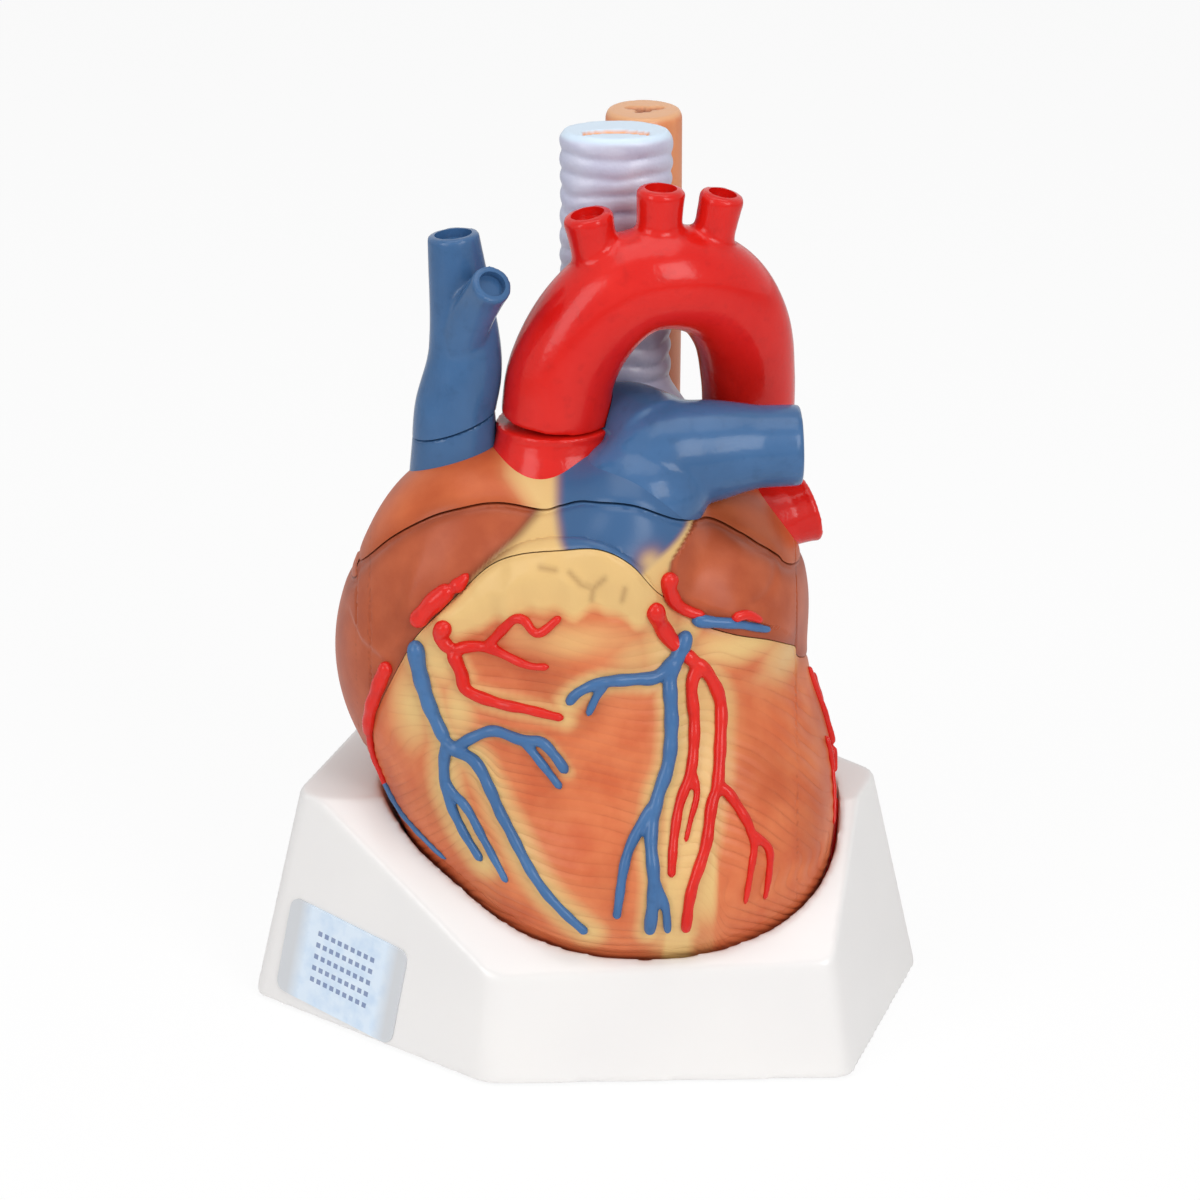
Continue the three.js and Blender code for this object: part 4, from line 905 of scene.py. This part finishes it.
def paint_shares(p):
    """How much of each paint lies on each point of the skin, from 0 to 1, and the rows of the wrinkles."""
    x, y, z = p.T
    on_front = step_up(-y, 16, 32)
    below = valve_gap(p) < 0
    fat = fat_share(p)
    cream = np.maximum(fat, cream_share(p)) * below * on_front
    beyond_left = x - edge_at(BLUE_LEFT_EDGE, z)
    before_right = edge_at(BLUE_RIGHT_EDGE, z) - x
    high = ~below * step_up(-y, 16, 26)
    blue = step_up(beyond_left, -3.0, 3.5) * step_up(before_right, -3, 3) * step_up(z, 168, 176) * high
    worn_x, worn_z, worn_reach = BLUE_WORN_SPOT
    blue *= 1 - 0.8 * np.exp(-((x - worn_x) ** 2 + (z - worn_z) ** 2) / worn_reach**2)
    inside = step_up(x - edge_at(ATRIUM_EDGE, z), -1.2, 1.2)
    fading = step_up(x - edge_at(ATRIUM_EDGE, z), -9, 6)
    before_auricle = step_up(edge_at(AURICLE_EDGE, z) - x, -0.5, 0.8)
    to_left = np.where(roof_gap(p) < 0, inside, fading)
    to_right = np.where(roof_gap(p) < 0, before_auricle, step_up(before_right, -10, 2))
    pale = to_left * to_right * step_up(z, 158, 164) * high
    cream = np.maximum(cream, 0.95 * pale)
    # Painted shade: darker beside the valve and roof seams, where shade falls between the castings, plus
    # random darker mottling
    seam_shade_and_mottle = 0.5 * np.clip(1 - np.abs(valve_gap(p)) / 5, 0, 1)
    seam_shade_and_mottle += 0.45 * np.clip(1 - np.abs(roof_gap(p)) / 4, 0, 1)
    seam_shade_and_mottle = np.clip(seam_shade_and_mottle + 0.35 * step_up(lumps(p, 24, 9), 0.0, 0.6), 0, 0.8)
    return {
        "cream": np.clip(cream, 0, 1) * (1 - blue), "blue": blue, "seam_shade_and_mottle": seam_shade_and_mottle,
        "crack": crack_share(p), "rows": wrinkle_rows(p) + 100, "wrinkled": wrinkle_strength(p),
    }


def paint(piece):
    mesh = piece.data
    for name, values in paint_shares(vertices_of(mesh)).items():
        write_attribute(mesh, name, values)


def atrium_room(name, room):
    piece = ball(name, *room, detail=5)
    return cut(piece, [above_valves("floor tool", 6)], "INTERSECT")


def upright_tool(name, at, low, high, radius):
    return rod(name, (*at, low), (*at, high), radius, segments=48)


def bore_tool(name, route, radius):
    bm = bmesh.new()
    tube_along(bm, route, [radius, radius], 4, 32)
    return fuse(to_object(bm, name), BORE_VOXEL, 0)


def ventricle_hollows():
    return [
        ball("left chamber", *LEFT_CHAMBER),
        ball("right chamber", *RIGHT_CHAMBER),
        bore_tool("aortic bore", [(24, -16, 122), (4, -15, 150), (-11.2, -12, 182), (-11.2, -12, 230)], 11),
        bore_tool("pulmonary bore", [(-18, -38, 124), (-4, -50, 158), (8, -49, 186), (13, -42, 204)], 10),
        upright_tool("mitral way", (42, 2), 128, 166, 14),
        upright_tool("tricuspid way", (-46, -6), 126, 178, 13),
    ]


def atrium_hollows():
    return [atrium_room("left atrium", LEFT_ATRIUM), atrium_room("right atrium", RIGHT_ATRIUM)] + [
        tool for tool in ventricle_hollows() if "chamber" not in tool.name or bpy.data.objects.remove(tool)]


def castings():
    skin = heart_skin()
    wall = copy_of(skin, "front_wall_casting")
    cut(wall, [wall_zone("wall zone", 0)], "INTERSECT")
    cut(wall, [above_valves("valve tool", -VALVE_SEAM / 2)] + ventricle_hollows())
    rear = copy_of(skin, "rear_casting")
    rear_tools = [above_valves("valve tool", -VALVE_SEAM / 2), wall_zone("wall zone", SIDE_SEAM)]
    cut(rear, rear_tools + ventricle_hollows())
    atria = copy_of(skin, "atria_shell_casting")
    cut(atria, [above_valves("valve tool", VALVE_SEAM / 2)], "INTERSECT")
    cut(atria, [above_line("roof tool", ROOF_CURVE, -SEAM / 2)] + atrium_hollows())
    roof = copy_of(skin, "roof_casting")
    cut(roof, [above_line("roof tool", ROOF_CURVE, SEAM / 2)], "INTERSECT")
    cut(roof, atrium_hollows())
    bpy.data.objects.remove(skin)
    paints = {
        "front": painted_casting("painted muscle casting", "#C9623A", "#9F4725", "#D6784B"),
        "rear": painted_casting("painted rear casting", "#C45E37", "#984323", "#D07046"),
        "atria": painted_casting("painted atrium casting", "#A54B2A", "#7D351B", "#B65A36"),
        "roof": painted_casting("painted roof casting", "#BC572D", "#944220", "#C96639"),
    }
    for piece, body, node_name, slot, material in (
            (wall, "front_wall", "front_heart_wall", "painted_muscle", "front"),
            (rear, "heart_back", "rear_ventricle_casting", "painted_muscle", "rear"),
            (atria, "atria", "atria_casting", "painted_atrium", "atria"),
            (roof, "roof", "atrial_roof_casting", "painted_atrium", "roof")):
        paint(piece)
        finish_piece(piece, body, [node_name], paints[material])


def finish_piece(piece, body, nodes, material):
    """Puts a finished piece on its body, in place of its CAD nodes, with its material."""
    piece.data.materials.clear()
    piece.data.materials.append(material)
    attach(piece, body)
    if nodes:
        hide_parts(*nodes)
    return piece


# Vessels on the muscle
def vessel_tree(name, branches, side="front"):
    """Raised vessels: each lies half sunk in the skin, with a blunt tip at either end."""
    bm = bmesh.new()
    for start_radius, end_radius, route in branches:
        flat, along = even_line(route, VESSEL_STEP)
        places = skin_near(flat) if side == "near" else skin_at(flat[:, 0], flat[:, 1], side)
        arm = places - HEART_MIDDLE
        outward = arm / np.linalg.norm(arm, axis=1)[:, None]
        gone = along * (len(along) - 1) * VESSEL_STEP
        left = (1 - along) * (len(along) - 1) * VESSEL_STEP
        near_end = np.minimum(gone / start_radius, left / end_radius)
        tip = np.sqrt(np.clip(1 - (1 - np.clip(near_end, 0, 1)) ** 2, 0.12, 1))
        knots = 1 + 0.06 * np.sin(along * len(along) * 0.9 + start_radius * 7)
        radii = (start_radius + (end_radius - start_radius) * along) * tip * knots
        places += outward * (0.2 * radii + 0.1)[:, None]
        add_tube(bm, places, radii, 14)
    return fuse(to_object(bm, name), VESSEL_VOXEL, 7)


def vessels():
    red = glossy_paint("red vessel enamel", "#CE1A12", "#9E120C", "#DA2A20", 0.24)
    blue = glossy_paint("blue vessel enamel", "#3A6292", "#28476C", "#4670A0", 0.24)
    trees = (
        ("great_vein_relief", GREAT_VEIN, "front", "front_wall", "great_cardiac_vein", blue),
        ("anterior_root_relief", ANTERIOR_ROOT, "front", "front_wall", "anterior_artery_root", red),
        ("anterior_artery_relief", ANTERIOR_ARTERY, "front", "front_wall", "anterior_descending_artery", red),
        ("anterior_vein_relief", ANTERIOR_VEIN, "front", "front_wall", "anterior_cardiac_vein", blue),
        ("marginal_artery_relief", MARGINAL_ARTERY, "front", "front_wall", "right_marginal_artery", red),
        ("groove_artery_relief", GROOVE_ARTERY, "near", "front_wall", "groove_artery", red),
        ("right_edge_artery_relief", RIGHT_EDGE_ARTERY, "near", "front_wall", None, red),
        ("low_edge_artery_relief", LOW_EDGE_ARTERY, "near", "heart_back", None, red),
        ("lower_edge_vein_relief", LOWER_EDGE_VEIN, "near", "front_wall", None, blue),
        ("right_root_relief", RIGHT_ROOT, "front", "atria", "right_coronary_root", red),
        ("auricle_artery_relief", AURICLE_ARTERY, "front", "atria", "left_coronary_root", red),
        ("vein_arm_relief", VEIN_ARM, "front", "atria", "cardiac_vein_arm", blue),
        ("rear_artery_relief", REAR_ARTERY, "back", "heart_back", "posterior_descending_artery", red),
        ("rear_vein_relief", REAR_VEIN, "back", "heart_back", "middle_cardiac_vein", blue),
        ("edge_artery_relief", EDGE_ARTERY, "side", "heart_back", "left_edge_artery", red),
        ("edge_vein_relief", EDGE_VEIN, "side", "heart_back", "left_edge_vein", blue),
    )
    for name, branches, side, body, node_name, material in trees:
        nodes = [node_name] if node_name else []
        finish_piece(vessel_tree(name, branches, side), body, nodes, material)


# Great vessels
def open_end(bm, start, end, radius):
    """A short branch that flares a little to its lip."""
    start, end = Vector(start), Vector(end)
    places = np.array([start.lerp(end, t) for t in (0, 0.3, 0.6, 0.85, 0.94, 1)])
    add_tube(bm, places, [radius * f for f in (1.35, 1.12, 1.0, 1.05, 1.1, 1.04)], 32)


def lumen_tool(start, end, radius):
    start, end = Vector(start), Vector(end)
    inward = (start - end).normalized()
    return rod("lumen tool", end + inward * LUMEN_DEPTH, end - inward * 2, radius - STUB_WALL, segments=48)


def aorta():
    bm = bmesh.new()
    tube_along(bm, AORTA_ROUTE, AORTA_RADII, 3, 40)
    for start, end, radius in AORTA_BRANCHES:
        open_end(bm, start, end, radius)
    piece = fuse(to_object(bm, "aorta_casting"), 1.0, 22)
    x, y, foot = AORTA_ROUTE[0]
    seat = rod("seat tool", (x, y, 150), (x, y, foot), 30)
    cut(piece, [seat] + [lumen_tool(*branch) for branch in AORTA_BRANCHES])
    red = glossy_paint("red arch enamel", "#CF1812", "#A50F0B", "#D8221A", 0.2, 0.09)
    finish_piece(piece, "aorta", ["aortic_arch"], red)
    return red


def collar(material):
    bm = bmesh.new()
    x, y, _ = AORTA_ROUTE[0]
    places = smooth_line([(x, y, z) for z, _ in COLLAR_PROFILE], 3)
    radii = edge_at(COLLAR_PROFILE, places[:, 2])
    add_tube(bm, places, radii, 64)
    piece = fuse(to_object(bm, "collar_casting"), 0.8, 3)
    finish_piece(piece, "roof", ["aortic_collar"], material)


def pulmonary(material):
    bm = bmesh.new()
    tube_along(bm, PULMONARY_ROUTE, PULMONARY_RADII, 3, 40)
    tube_along(bm, RIGHT_PULMONARY_ROUTE, RIGHT_PULMONARY_RADII, 3, 32)
    at, size = PULMONARY_NECK
    swelling = bmesh.ops.create_icosphere(bm, subdivisions=5, radius=1)["verts"]
    bmesh.ops.scale(bm, vec=size, verts=swelling)
    bmesh.ops.translate(bm, vec=at, verts=swelling)
    piece = fuse(to_object(bm, "pulmonary_trunk_casting"), 1.0, 18)
    end, before = PULMONARY_ROUTE[-1], PULMONARY_ROUTE[-2]
    x, y, foot = AORTA_ROUTE[0]
    aorta_room = rod("aorta room", (x, y, foot - 0.2), (x, y, FAR), AORTA_RADII[0] + TRUNK_CLEARANCE)
    cut(piece, [lumen_tool(before, end, PULMONARY_RADII[-1]), aorta_room])
    cut(piece, [above_line("roof tool", ROOF_CURVE, SEAM / 2)], "INTERSECT")
    finish_piece(piece, "roof", ["pulmonary_trunk"], material)


def cava_seam(name, shift):
    (x0, z0), (x1, z1) = CAVA_SEAM
    slope = (z1 - z0) / (x1 - x0)
    low = [(x, z0 + slope * (x - x0) + shift) for x in (-120, 0)]
    outline = low + [(0, FAR), (-120, FAR)]
    return plate(name, outline)


def vena_cava(material):
    bm = bmesh.new()
    tube_along(bm, CAVA_ROUTE, CAVA_RADII, 3, 32)
    tube_along(bm, CAVA_BRANCH_ROUTE, CAVA_BRANCH_RADII, 3, 32)
    piece = fuse(to_object(bm, "vena_cava_casting"), 0.8, 12)
    cut(piece, [cava_seam("seam tool", SEAM / 2)], "INTERSECT")
    top, below = Vector(CAVA_ROUTE[3]), Vector(CAVA_ROUTE[2])
    ring, before = Vector(CAVA_BRANCH_ROUTE[3]), Vector(CAVA_BRANCH_ROUTE[2])
    cut(piece, [lumen_tool(below, top, CAVA_RADII[3]), lumen_tool(before, ring, CAVA_BRANCH_RADII[3])])
    finish_piece(piece, "vena_cava", ["upper_vena_cava"], material)
    stub = rod("vena_cava_stub_casting", CAVA_STUB["foot"], CAVA_STUB["top"],
               CAVA_STUB["foot radius"], CAVA_STUB["top radius"], 64)
    cut(stub, [cava_seam("seam tool", -SEAM / 2)])
    finish_piece(fuse(stub, 0.8, 2), "roof", ["vena_cava_stub"], material)


def pulmonary_veins(material):
    for name, (start, end, radius) in PULMONARY_VEINS.items():
        bm = bmesh.new()
        open_end(bm, start, end, radius)
        piece = fuse(to_object(bm, name + "_casting"), 0.7, 3)
        cut(piece, [lumen_tool(start, end, radius)])
        body = "roof" if name.endswith("left_upper") else "atria"
        finish_piece(piece, body, [name], material)


# Windpipe and gullet
def windpipe():
    bm = bmesh.new()
    low, high = TRACHEA_HEIGHTS
    heights = np.linspace(low, high, 90)
    add_tube(bm, np.array([(*TRACHEA_AT, z) for z in heights]), [1.0] * len(heights), 96)
    for vertex in bm.verts:
        angle = math.atan2(vertex.co.y - TRACHEA_AT[1], vertex.co.x - TRACHEA_AT[0])
        drift = noise.noise(Vector((math.cos(angle) * 1.4, math.sin(angle) * 1.4, vertex.co.z / 15)))
        phase = (high - vertex.co.z) / RING_PITCH + 0.4 * drift
        ring = abs(math.sin(math.pi * phase)) ** 0.55
        shrink = RING_DEPTH * (1 - ring) + 0.5 * drift
        top = max(0.0, 1 - (high - vertex.co.z) / 2.5) ** 2
        for axis, half in ((0, TRACHEA_HALF[0]), (1, TRACHEA_HALF[1])):
            out = vertex.co[axis] - TRACHEA_AT[axis]
            vertex.co[axis] = TRACHEA_AT[axis] + out * (half - shrink - 1.2 * top)
    tube_along(bm, LEFT_BRONCHUS, BRONCHUS_RADII, 3, 32)
    tube_along(bm, RIGHT_BRONCHUS, BRONCHUS_RADII, 3, 32)
    piece = fuse(to_object(bm, "windpipe_casting"), 0.8, 2)
    p = vertices_of(piece.data)
    x, y, z = (p - (*TRACHEA_AT, high)).T
    out = np.hypot(x / TRACHEA_HALF[0], y / TRACHEA_HALF[1])
    slit = (np.abs(x) < 11.5) * np.exp(-((y + 2.5 + 0.02 * x**2) / 2.3) ** 4) * (z > -3)
    place_vertices(piece.data, p - np.column_stack([0 * z, 0 * z, 1.6 * step_up(slit, 0.3, 0.7)]))
    write_attribute(piece.data, "slit", step_up(slit, 0.3, 0.6))
    write_attribute(piece.data, "top", step_up(z, -3, -1) * (1 - step_up(slit, 0.3, 0.6)))
    # Painted shade mask: the grooves between the rings, where the tube is pulled in
    write_attribute(piece.data, "crease", step_up(-out, -0.96, -0.9) * (z < -2) * (z > -96))
    finish_piece(piece, "windpipe", ["trachea"], windpipe_material())


def gullet():
    bm = bmesh.new()
    low, high = OESOPHAGUS_HEIGHTS
    heights = np.linspace(low, high, 60)
    add_tube(bm, np.array([(*OESOPHAGUS_AT, z) for z in heights]), [OESOPHAGUS_RADIUS] * len(heights), 72)
    for vertex in bm.verts:
        x, y = vertex.co.x - OESOPHAGUS_AT[0], vertex.co.y - OESOPHAGUS_AT[1]
        wave = 0.25 * noise.noise(Vector((x / 9, y / 9, vertex.co.z / 60)))
        rim = max(0.0, 1 - (high - vertex.co.z) / 2.5, 1 - (vertex.co.z - low) / 2.5) ** 2
        size = 1 + wave / OESOPHAGUS_RADIUS - 0.07 * rim
        vertex.co.x, vertex.co.y = OESOPHAGUS_AT[0] + x * size, OESOPHAGUS_AT[1] + y * size
    piece = fuse(to_object(bm, "gullet_casting"), 0.9, 2)
    p = vertices_of(piece.data)
    x, y, z = (p - (*OESOPHAGUS_AT, high)).T
    angle = np.arctan2(y, x)
    reach = 5.2 + 1.6 * np.sin(3 * angle + 0.5) + 1.1 * np.sin(5 * angle)
    fold = (1 - step_up(np.hypot(x, 1.5 * y), reach - 1.2, reach + 0.8)) * (z > -3)
    ridges = 0.5 + 0.5 * np.sin(x * 1.9 + 2 * np.sin(y * 1.1))
    place_vertices(piece.data, p - np.column_stack([0 * z, 0 * z, fold * (0.6 + 1.2 * ridges)]))
    write_attribute(piece.data, "crease", fold * (0.35 + 0.65 * ridges))
    write_attribute(piece.data, "top", step_up(z, -2, -0.6) * (1 - fold))
    finish_piece(piece, "gullet", ["oesophagus"], gullet_material())


# Base
def inset(corners, distance):
    """Moves each side of a counter-clockwise outline inwards."""
    points = []
    for i, corner in enumerate(corners):
        before, after = corners[i - 1], corners[(i + 1) % len(corners)]
        here = Vector(corner)
        first = (here - Vector(before)).normalized()
        second = (Vector(after) - here).normalized()
        one, two = Vector((-first.y, first.x)), Vector((-second.y, second.x))
        points.append(here + (one + two) * distance / (1 + one.dot(two)))
    return points


def base_block(name, bottom, top, inset_by=0.0, rounding=0.0):
    """A tapered six-cornered block with rounded upright edges."""
    bm = bmesh.new()
    low = [bm.verts.new((*c, bottom)) for c in inset(BASE_CORNERS, inset_by + bottom * BASE_DRAFT)]
    face = bm.faces.new(low)
    pulled = bmesh.ops.extrude_face_region(bm, geom=[face])["geom"]
    high = [part for part in pulled if isinstance(part, bmesh.types.BMVert)]
    for vertex, corner in zip(low, inset(BASE_CORNERS, inset_by + top * BASE_DRAFT)):
        twin = min(high, key=lambda v: (v.co.xy - vertex.co.xy).length)
        twin.co = (*corner, top)
        high.remove(twin)
    uprights = [e for e in bm.edges if abs(e.verts[0].co.z - e.verts[1].co.z) > 1]
    bmesh.ops.bevel(bm, geom=uprights, offset=rounding, affect="EDGES", segments=8, profile=0.5)
    bmesh.ops.recalc_face_normals(bm, faces=bm.faces)
    return to_object(bm, name)


def above_base(name, lower=0.0):
    drop = lower * math.hypot(1, BASE_TOP_SLOPE)
    crease = BASE_CREASE_Y + (drop - lower) / BASE_TOP_SLOPE
    outline = [
        (-160, base_top(-160) - drop), (crease, BASE_REAR_HEIGHT - lower), (FAR, BASE_REAR_HEIGHT - lower),
        (FAR, FAR), (-160, FAR),
    ]
    return plate(name, outline, "x")


def recess_tool(grow=0.0):
    """The room that the heart stands in, open upwards so that the heart lifts out."""
    bm = bmesh.new()
    bmesh.ops.create_uvsphere(bm, u_segments=72, v_segments=44, radius=1)
    direction = np.array([v.co for v in bm.verts], float)
    direction /= np.linalg.norm(direction, axis=1)[:, None]
    p = HEART_MIDDLE + direction * skin_reach(direction)[:, None]
    bm.free()
    p = p[p[:, 2] < base_top(p[:, 1]) + RECESS_MARGIN]
    outward = p[:, :2] - HEART_MIDDLE[:2]
    outward /= np.maximum(1, np.linalg.norm(outward, axis=1))[:, None]
    p[:, :2] += (RECESS_GAP + grow) * outward
    bm = bmesh.new()
    for x, y, z in p:
        bm.verts.new((x, y, z - 0.5 - grow))
        bm.verts.new((x, y, BASE_REAR_HEIGHT + 40))
    bmesh.ops.convex_hull(bm, input=bm.verts)
    loose = [v for v in bm.verts if not v.link_faces]
    bmesh.ops.delete(bm, geom=loose, context="VERTS")
    return to_object(bm, "recess tool")


def base():
    """The hollow moulding, with a boss over each foot."""
    piece = base_block("base_moulding", FOOT_PROUD, BASE_REAR_HEIGHT + 6, rounding=BASE_CORNER_ROUND)
    cut(piece, [above_base("top tool"), recess_tool()])
    fuse(piece, BASE_VOXEL, BASE_SMOOTHING)
    room = base_block("room tool", -1, BASE_REAR_HEIGHT, BASE_WALL, BASE_CORNER_ROUND - BASE_WALL)
    cut(room, [above_base("ceiling tool", BASE_WALL), recess_tool(BASE_WALL)])
    cut(piece, [room])
    feet = inset(BASE_CORNERS, FOOT_INSET)
    bosses = [rod("boss", (*at, FOOT_PROUD), (*at, BOSS_TOP), FOOT_RADIUS + BASE_WALL) for at in feet]
    cut(piece, bosses, "UNION")
    cut(piece, [rod("pocket", (*at, -1), (*at, FOOT_THICKNESS), FOOT_RADIUS + 0.3) for at in feet])
    finish_piece(piece, "stand", ["stand_shell"], moulded_shell_material())


# Stage, light and camera
def stage():
    bm = bmesh.new()
    bmesh.ops.create_grid(bm, x_segments=1, y_segments=1, size=6000)
    floor = to_object(bm, "floor")
    material, tree, shader = new_material("white paper", Roughness=0.9)
    shader.inputs["Base Color"].default_value = linear("#FFFFFF")
    path = node(tree, "ShaderNodeLightPath")
    glow = node(tree, "ShaderNodeEmission", {"Color": linear("#FFFFFF"), "Strength": 1.0})
    share = share_range(tree, path.outputs["Is Camera Ray"], 0, 1, 0, 0.9)
    mix = node(tree, "ShaderNodeMixShader", None, {0: share, 1: shader.outputs[0], 2: glow.outputs[0]})
    tree.links.new(mix.outputs[0], tree.nodes["Material Output"].inputs["Surface"])
    floor.data.materials.append(material)


def world():
    scene_world = bpy.data.worlds.new("studio")
    bpy.context.scene.world = scene_world
    scene_world.use_nodes = True
    tree = scene_world.node_tree
    path = node(tree, "ShaderNodeLightPath")
    seen = path.outputs["Is Camera Ray"]
    for ray in ("Is Glossy Ray", "Is Transmission Ray"):
        either = {0: seen, 1: path.outputs[ray]}
        seen = node(tree, "ShaderNodeMath", {"operation": "MAXIMUM"}, either).outputs[0]
    strength = share_range(tree, seen, 0, 1, AMBIENT_LIGHT, 1.0)
    background = tree.nodes["Background"]
    background.inputs["Color"].default_value = (1, 1, 1, 1)
    tree.links.new(strength, background.inputs["Strength"])


def softbox(name, place, size, power):
    """A square lamp that looks at the middle of the heart."""
    lamp = bpy.data.lights.new(name, "AREA")
    lamp.shape = "RECTANGLE"
    lamp.size, lamp.size_y = size
    lamp.energy = power
    holder = bpy.data.objects.new(name, lamp)
    holder.location = Vector(place)
    target = Vector((0, -0.02, 0.15))
    holder.rotation_euler = (target - holder.location).to_track_quat("-Z", "Y").to_euler()
    bpy.context.scene.collection.objects.link(holder)


def lights():
    softbox("front right softbox", (0.75, -1.1, 0.95), (0.7, 0.9), 10)
    softbox("front left softbox", (-0.95, -0.9, 0.75), (0.6, 0.9), 6)
    softbox("top softbox", (0.0, -0.1, 1.5), (1.1, 0.9), 6.2)


def camera():
    look = Vector((0, math.cos(CAMERA_PITCH), -math.sin(CAMERA_PITCH)))
    data = bpy.data.cameras.new("camera")
    data.lens = CAMERA_LENS
    data.sensor_width = 36
    data.clip_end = 20
    holder = bpy.data.objects.new("camera", data)
    holder.location = (CAMERA_TARGET - look * CAMERA_DISTANCE) * MM
    holder.rotation_euler = look.to_track_quat("-Z", "Y").to_euler()
    bpy.context.scene.collection.objects.link(holder)
    bpy.context.scene.camera = holder


def dress_cad_nodes():
    """Gives the CAD nodes that stay their own materials."""
    steel, rubber = steel_material(), rubber_material()
    valve = lumen_material("moulded valve", "#E4D3B0", "#CDB78C")
    chamber = lumen_material("painted chamber muscle", "#CF8668", "#B5664A")
    for name, cad in frame["nodes"].items():
        material = None
        if "peg" in name:
            material = steel
        elif "foot" in name:
            material = rubber
        elif "valve" in name:
            material = valve
        elif "papillary" in name:
            material = chamber
        if material:
            cad.data.materials.clear()
            cad.data.materials.append(material)


def label_place():
    """The label's middle and its directions along and up the stand's left front face."""
    first, second = Vector((*BASE_CORNERS[0], 0)), Vector((*BASE_CORNERS[1], 0))
    corners = vertices_of(frame["nodes"]["stand_label"].data) * MM
    along = (second - first).normalized()
    outward = Vector((along.y, -along.x, 0))
    draft = math.atan(BASE_DRAFT)
    up = outward * -math.sin(draft) + Vector((0, 0, math.cos(draft)))
    turn = Matrix.Rotation(math.radians(LABEL_TURN), 3, outward)
    return Vector(corners.mean(axis=0)), turn @ along, turn @ up


def label():
    """Printed film: pale blue with a silvery band at either end and rows of small marks."""
    material, tree, shader = new_material("printed label film", Roughness=0.25, IOR=1.5, Coat_Weight=0.3)
    middle, along, up = label_place()
    place = node(tree, "ShaderNodeTexCoord").outputs["Object"]
    from_middle = node(tree, "ShaderNodeVectorMath", {"operation": "SUBTRACT", 1: middle}, {0: place})
    distances = []
    for direction in (along, up):
        settings = {"operation": "DOT_PRODUCT", 1: direction / MM}
        dot = node(tree, "ShaderNodeVectorMath", settings, {0: from_middle.outputs[0]})
        distances.append(dot.outputs["Value"])
    sideways, upwards = distances
    far_out = node(tree, "ShaderNodeMath", {"operation": "ABSOLUTE"}, {0: sideways}).outputs[0]
    high_up = node(tree, "ShaderNodeMath", {"operation": "ABSOLUTE"}, {0: upwards}).outputs[0]
    cloud = object_noise(tree, 6, 3.0).outputs["Fac"]
    colour = blend_colour(tree, share_range(tree, cloud, 0.4, 0.7), "#D6E4F2", "#C3D7EC")
    colour = blend_colour(tree, share_range(tree, far_out, 18, 24), colour, "#C9CCD0")
    tests = [(far_out, LABEL_PRINT_HALF[0]), (high_up, LABEL_PRINT_HALF[1])]
    for distance, pitch, share in zip((sideways, upwards), LABEL_MARK_PITCH, LABEL_MARK_SHARE):
        wave = node(tree, "ShaderNodeMath", {"operation": "PINGPONG", 1: pitch / 2}, {0: distance})
        tests.append((wave.outputs[0], pitch / 2 * share))
    printed = None
    for value, limit in tests:
        passed = node(tree, "ShaderNodeMath", {"operation": "LESS_THAN", 1: limit}, {0: value}).outputs[0]
        if printed:
            both = {0: printed, 1: passed}
            passed = node(tree, "ShaderNodeMath", {"operation": "MULTIPLY"}, both).outputs[0]
        printed = passed
    faint = share_range(tree, printed, 0, 1, 0, 0.7)
    colour = blend_colour(tree, faint, colour, "#2F4C8A")
    tree.links.new(colour, shader.inputs["Base Color"])
    plate_node = frame["nodes"]["stand_label"]
    plate_node.data.materials.clear()
    plate_node.data.materials.append(material)


bpy.context.scene.view_settings.view_transform = "Standard"
camera()
world()
lights()
stage()
base()
castings()
vessels()
red_enamel = aorta()
blue_enamel = glossy_paint("blue trunk enamel", BLUE_PAINT, "#2C4A6E", "#426996", 0.22, 0.07)
collar(red_enamel)
pulmonary(blue_enamel)
vena_cava(blue_enamel)
pulmonary_veins(red_enamel)
windpipe()
gullet()
label()
dress_cad_nodes()
